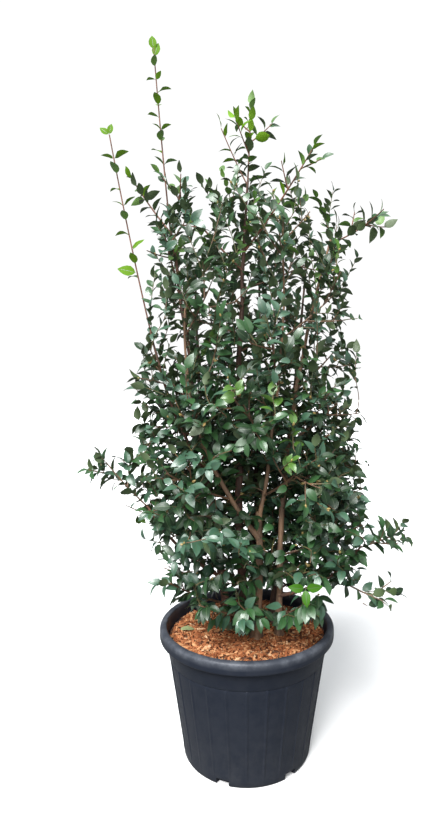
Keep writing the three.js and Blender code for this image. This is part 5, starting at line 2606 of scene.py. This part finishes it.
    def build(self) -> list[Piece]:
        """Grows the foliage and builds its pieces.

        Returns:
            The pieces.
        """
        self.grow()
        LOG.info("%d leaves, %d twigs, %d buds", sum(map(len, self.leaves.values())),
                 sum(map(len, self.twigs.values())), len(self.buds))
        pieces = []
        for zone in Zone:
            pieces += [self.build_twigs(zone), self.build_leaves(zone)]
        return [*pieces, self.build_buds()]


# ---- studio
@dataclass
class Studio:
    """The plain pale floor, the soft light and the camera."""

    floor_size: float = 60.0
    floor_steps: int = 13
    floor_level: float = -0.0006
    backdrop_strength: float = 1.05
    sky_strengths: Span = (0.01, 0.95)
    sky_colour: Colour = (0.93, 0.97, 1.0)
    camera_place: Place = (0.0, -1.44, 0.958)
    focal_length: float = 23.59
    sensor_height: float = 36.0
    shift: Span = (-0.0326, -0.035)
    view_limit: float = 200.0
    sun_strength: float = 6.3
    sun_spread: float = 34.0
    sun_turn: Place = (42.0, 0.0, -26.0)
    front_power: float = 36.0
    front_size: float = 1.1
    front_place: Place = (0.35, -2.75, 1.65)
    front_aim: Place = (0.0, 0.0, 0.55)

    def build_floor(self) -> None:
        """Builds the level floor, far wider than the view."""
        parts = MeshParts()
        half = self.floor_size / 2
        steps = np.linspace(-half, half, self.floor_steps)
        start = parts.add_points([[x, y, self.floor_level] for y in steps for x in steps])
        across = len(steps)
        row, column = np.meshgrid(np.arange(across - 1), np.arange(across - 1), indexing="ij")
        corner = start + row * across + column
        parts.add_faces(np.stack([corner, corner + 1, corner + across + 1, corner + across], -1).reshape(-1, 4))
        mesh = parts.mesh("floor")
        mesh.materials.append(FLOOR.material())
        floor = add_object("floor", mesh)

    def build_world(self) -> None:
        """Sets the surroundings, white to the eye and brightest overhead, and plain colour management."""
        world = bpy.data.worlds.new("studio")
        world.use_nodes = True
        nodes = NodeTree(world.node_tree)
        height = nodes.add("ShaderNodeSeparateXYZ", {0: nodes.add("ShaderNodeTexCoord").outputs["Generated"]})
        strength = nodes.remap(height.outputs[2], (0.0, 1.0), self.sky_strengths)
        sky = nodes.add("ShaderNodeBackground", {"Color": (*self.sky_colour, 1), "Strength": strength})
        backdrop = nodes.add("ShaderNodeBackground", {"Color": (1, 1, 1, 1), "Strength": self.backdrop_strength})
        seen = nodes.add("ShaderNodeLightPath").outputs["Is Camera Ray"]
        shader = nodes.add("ShaderNodeMixShader", {0: seen, 1: sky.outputs[0], 2: backdrop.outputs[0]})
        nodes.add("ShaderNodeOutputWorld", {"Surface": shader.outputs[0]})
        bpy.context.scene.world = world
        bpy.context.scene.view_settings.view_transform = "Standard"
        bpy.context.scene.view_settings.look = "None"

    def build_lights(self) -> None:
        """Hangs one large soft light high in front and to the left, and a weaker one low in front."""
        high = bpy.data.lights.new("high_light", "SUN")
        high.energy = self.sun_strength
        high.angle = math.radians(self.sun_spread)
        add_object("high_light", high).rotation_euler = tuple(math.radians(turn) for turn in self.sun_turn)
        front = bpy.data.lights.new("front_light", "AREA")
        front.shape = "DISK"
        front.size = self.front_size
        front.energy = self.front_power
        lamp = add_object("front_light", front)
        lamp.location = self.front_place
        away = np.array(self.front_place) - np.array(self.front_aim)
        lamp.rotation_euler = (math.atan2(math.hypot(away[0], away[1]), away[2]), 0, math.atan2(away[0], -away[1]))

    def build_camera(self) -> None:
        """Places the camera level in front of the shrub."""
        camera = bpy.data.cameras.new("camera")
        camera.sensor_fit = "VERTICAL"
        camera.sensor_height = self.sensor_height
        camera.lens = self.focal_length
        camera.shift_x, camera.shift_y = self.shift
        camera.clip_end = self.view_limit
        holder = add_object("camera", camera)
        holder.location = self.camera_place
        holder.rotation_euler = (math.pi / 2, 0, 0)
        bpy.context.scene.camera = holder

    def build(self) -> None:
        """Builds the whole studio."""
        self.build_floor()
        self.build_world()
        self.build_lights()
        self.build_camera()


def main() -> None:
    """Builds the dressed shrub piece by piece, then the studio round it."""
    logging.basicConfig(level=logging.INFO, format="%(message)s")
    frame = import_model()
    limbs = shrub_limbs()
    NurseryPot().build()
    MulchBed().build()
    BarkLimbs(limbs).build()
    Foliage(GrowthRule(limbs)).build()
    soil = frame["nodes"]["soil"]
    soil.data.materials.clear()
    soil.data.materials.append(SOIL.material())
    LOG.info("soil: the solid itself, with a finish of its own")
    Studio().build()


if __name__ == "__main__":
    main()
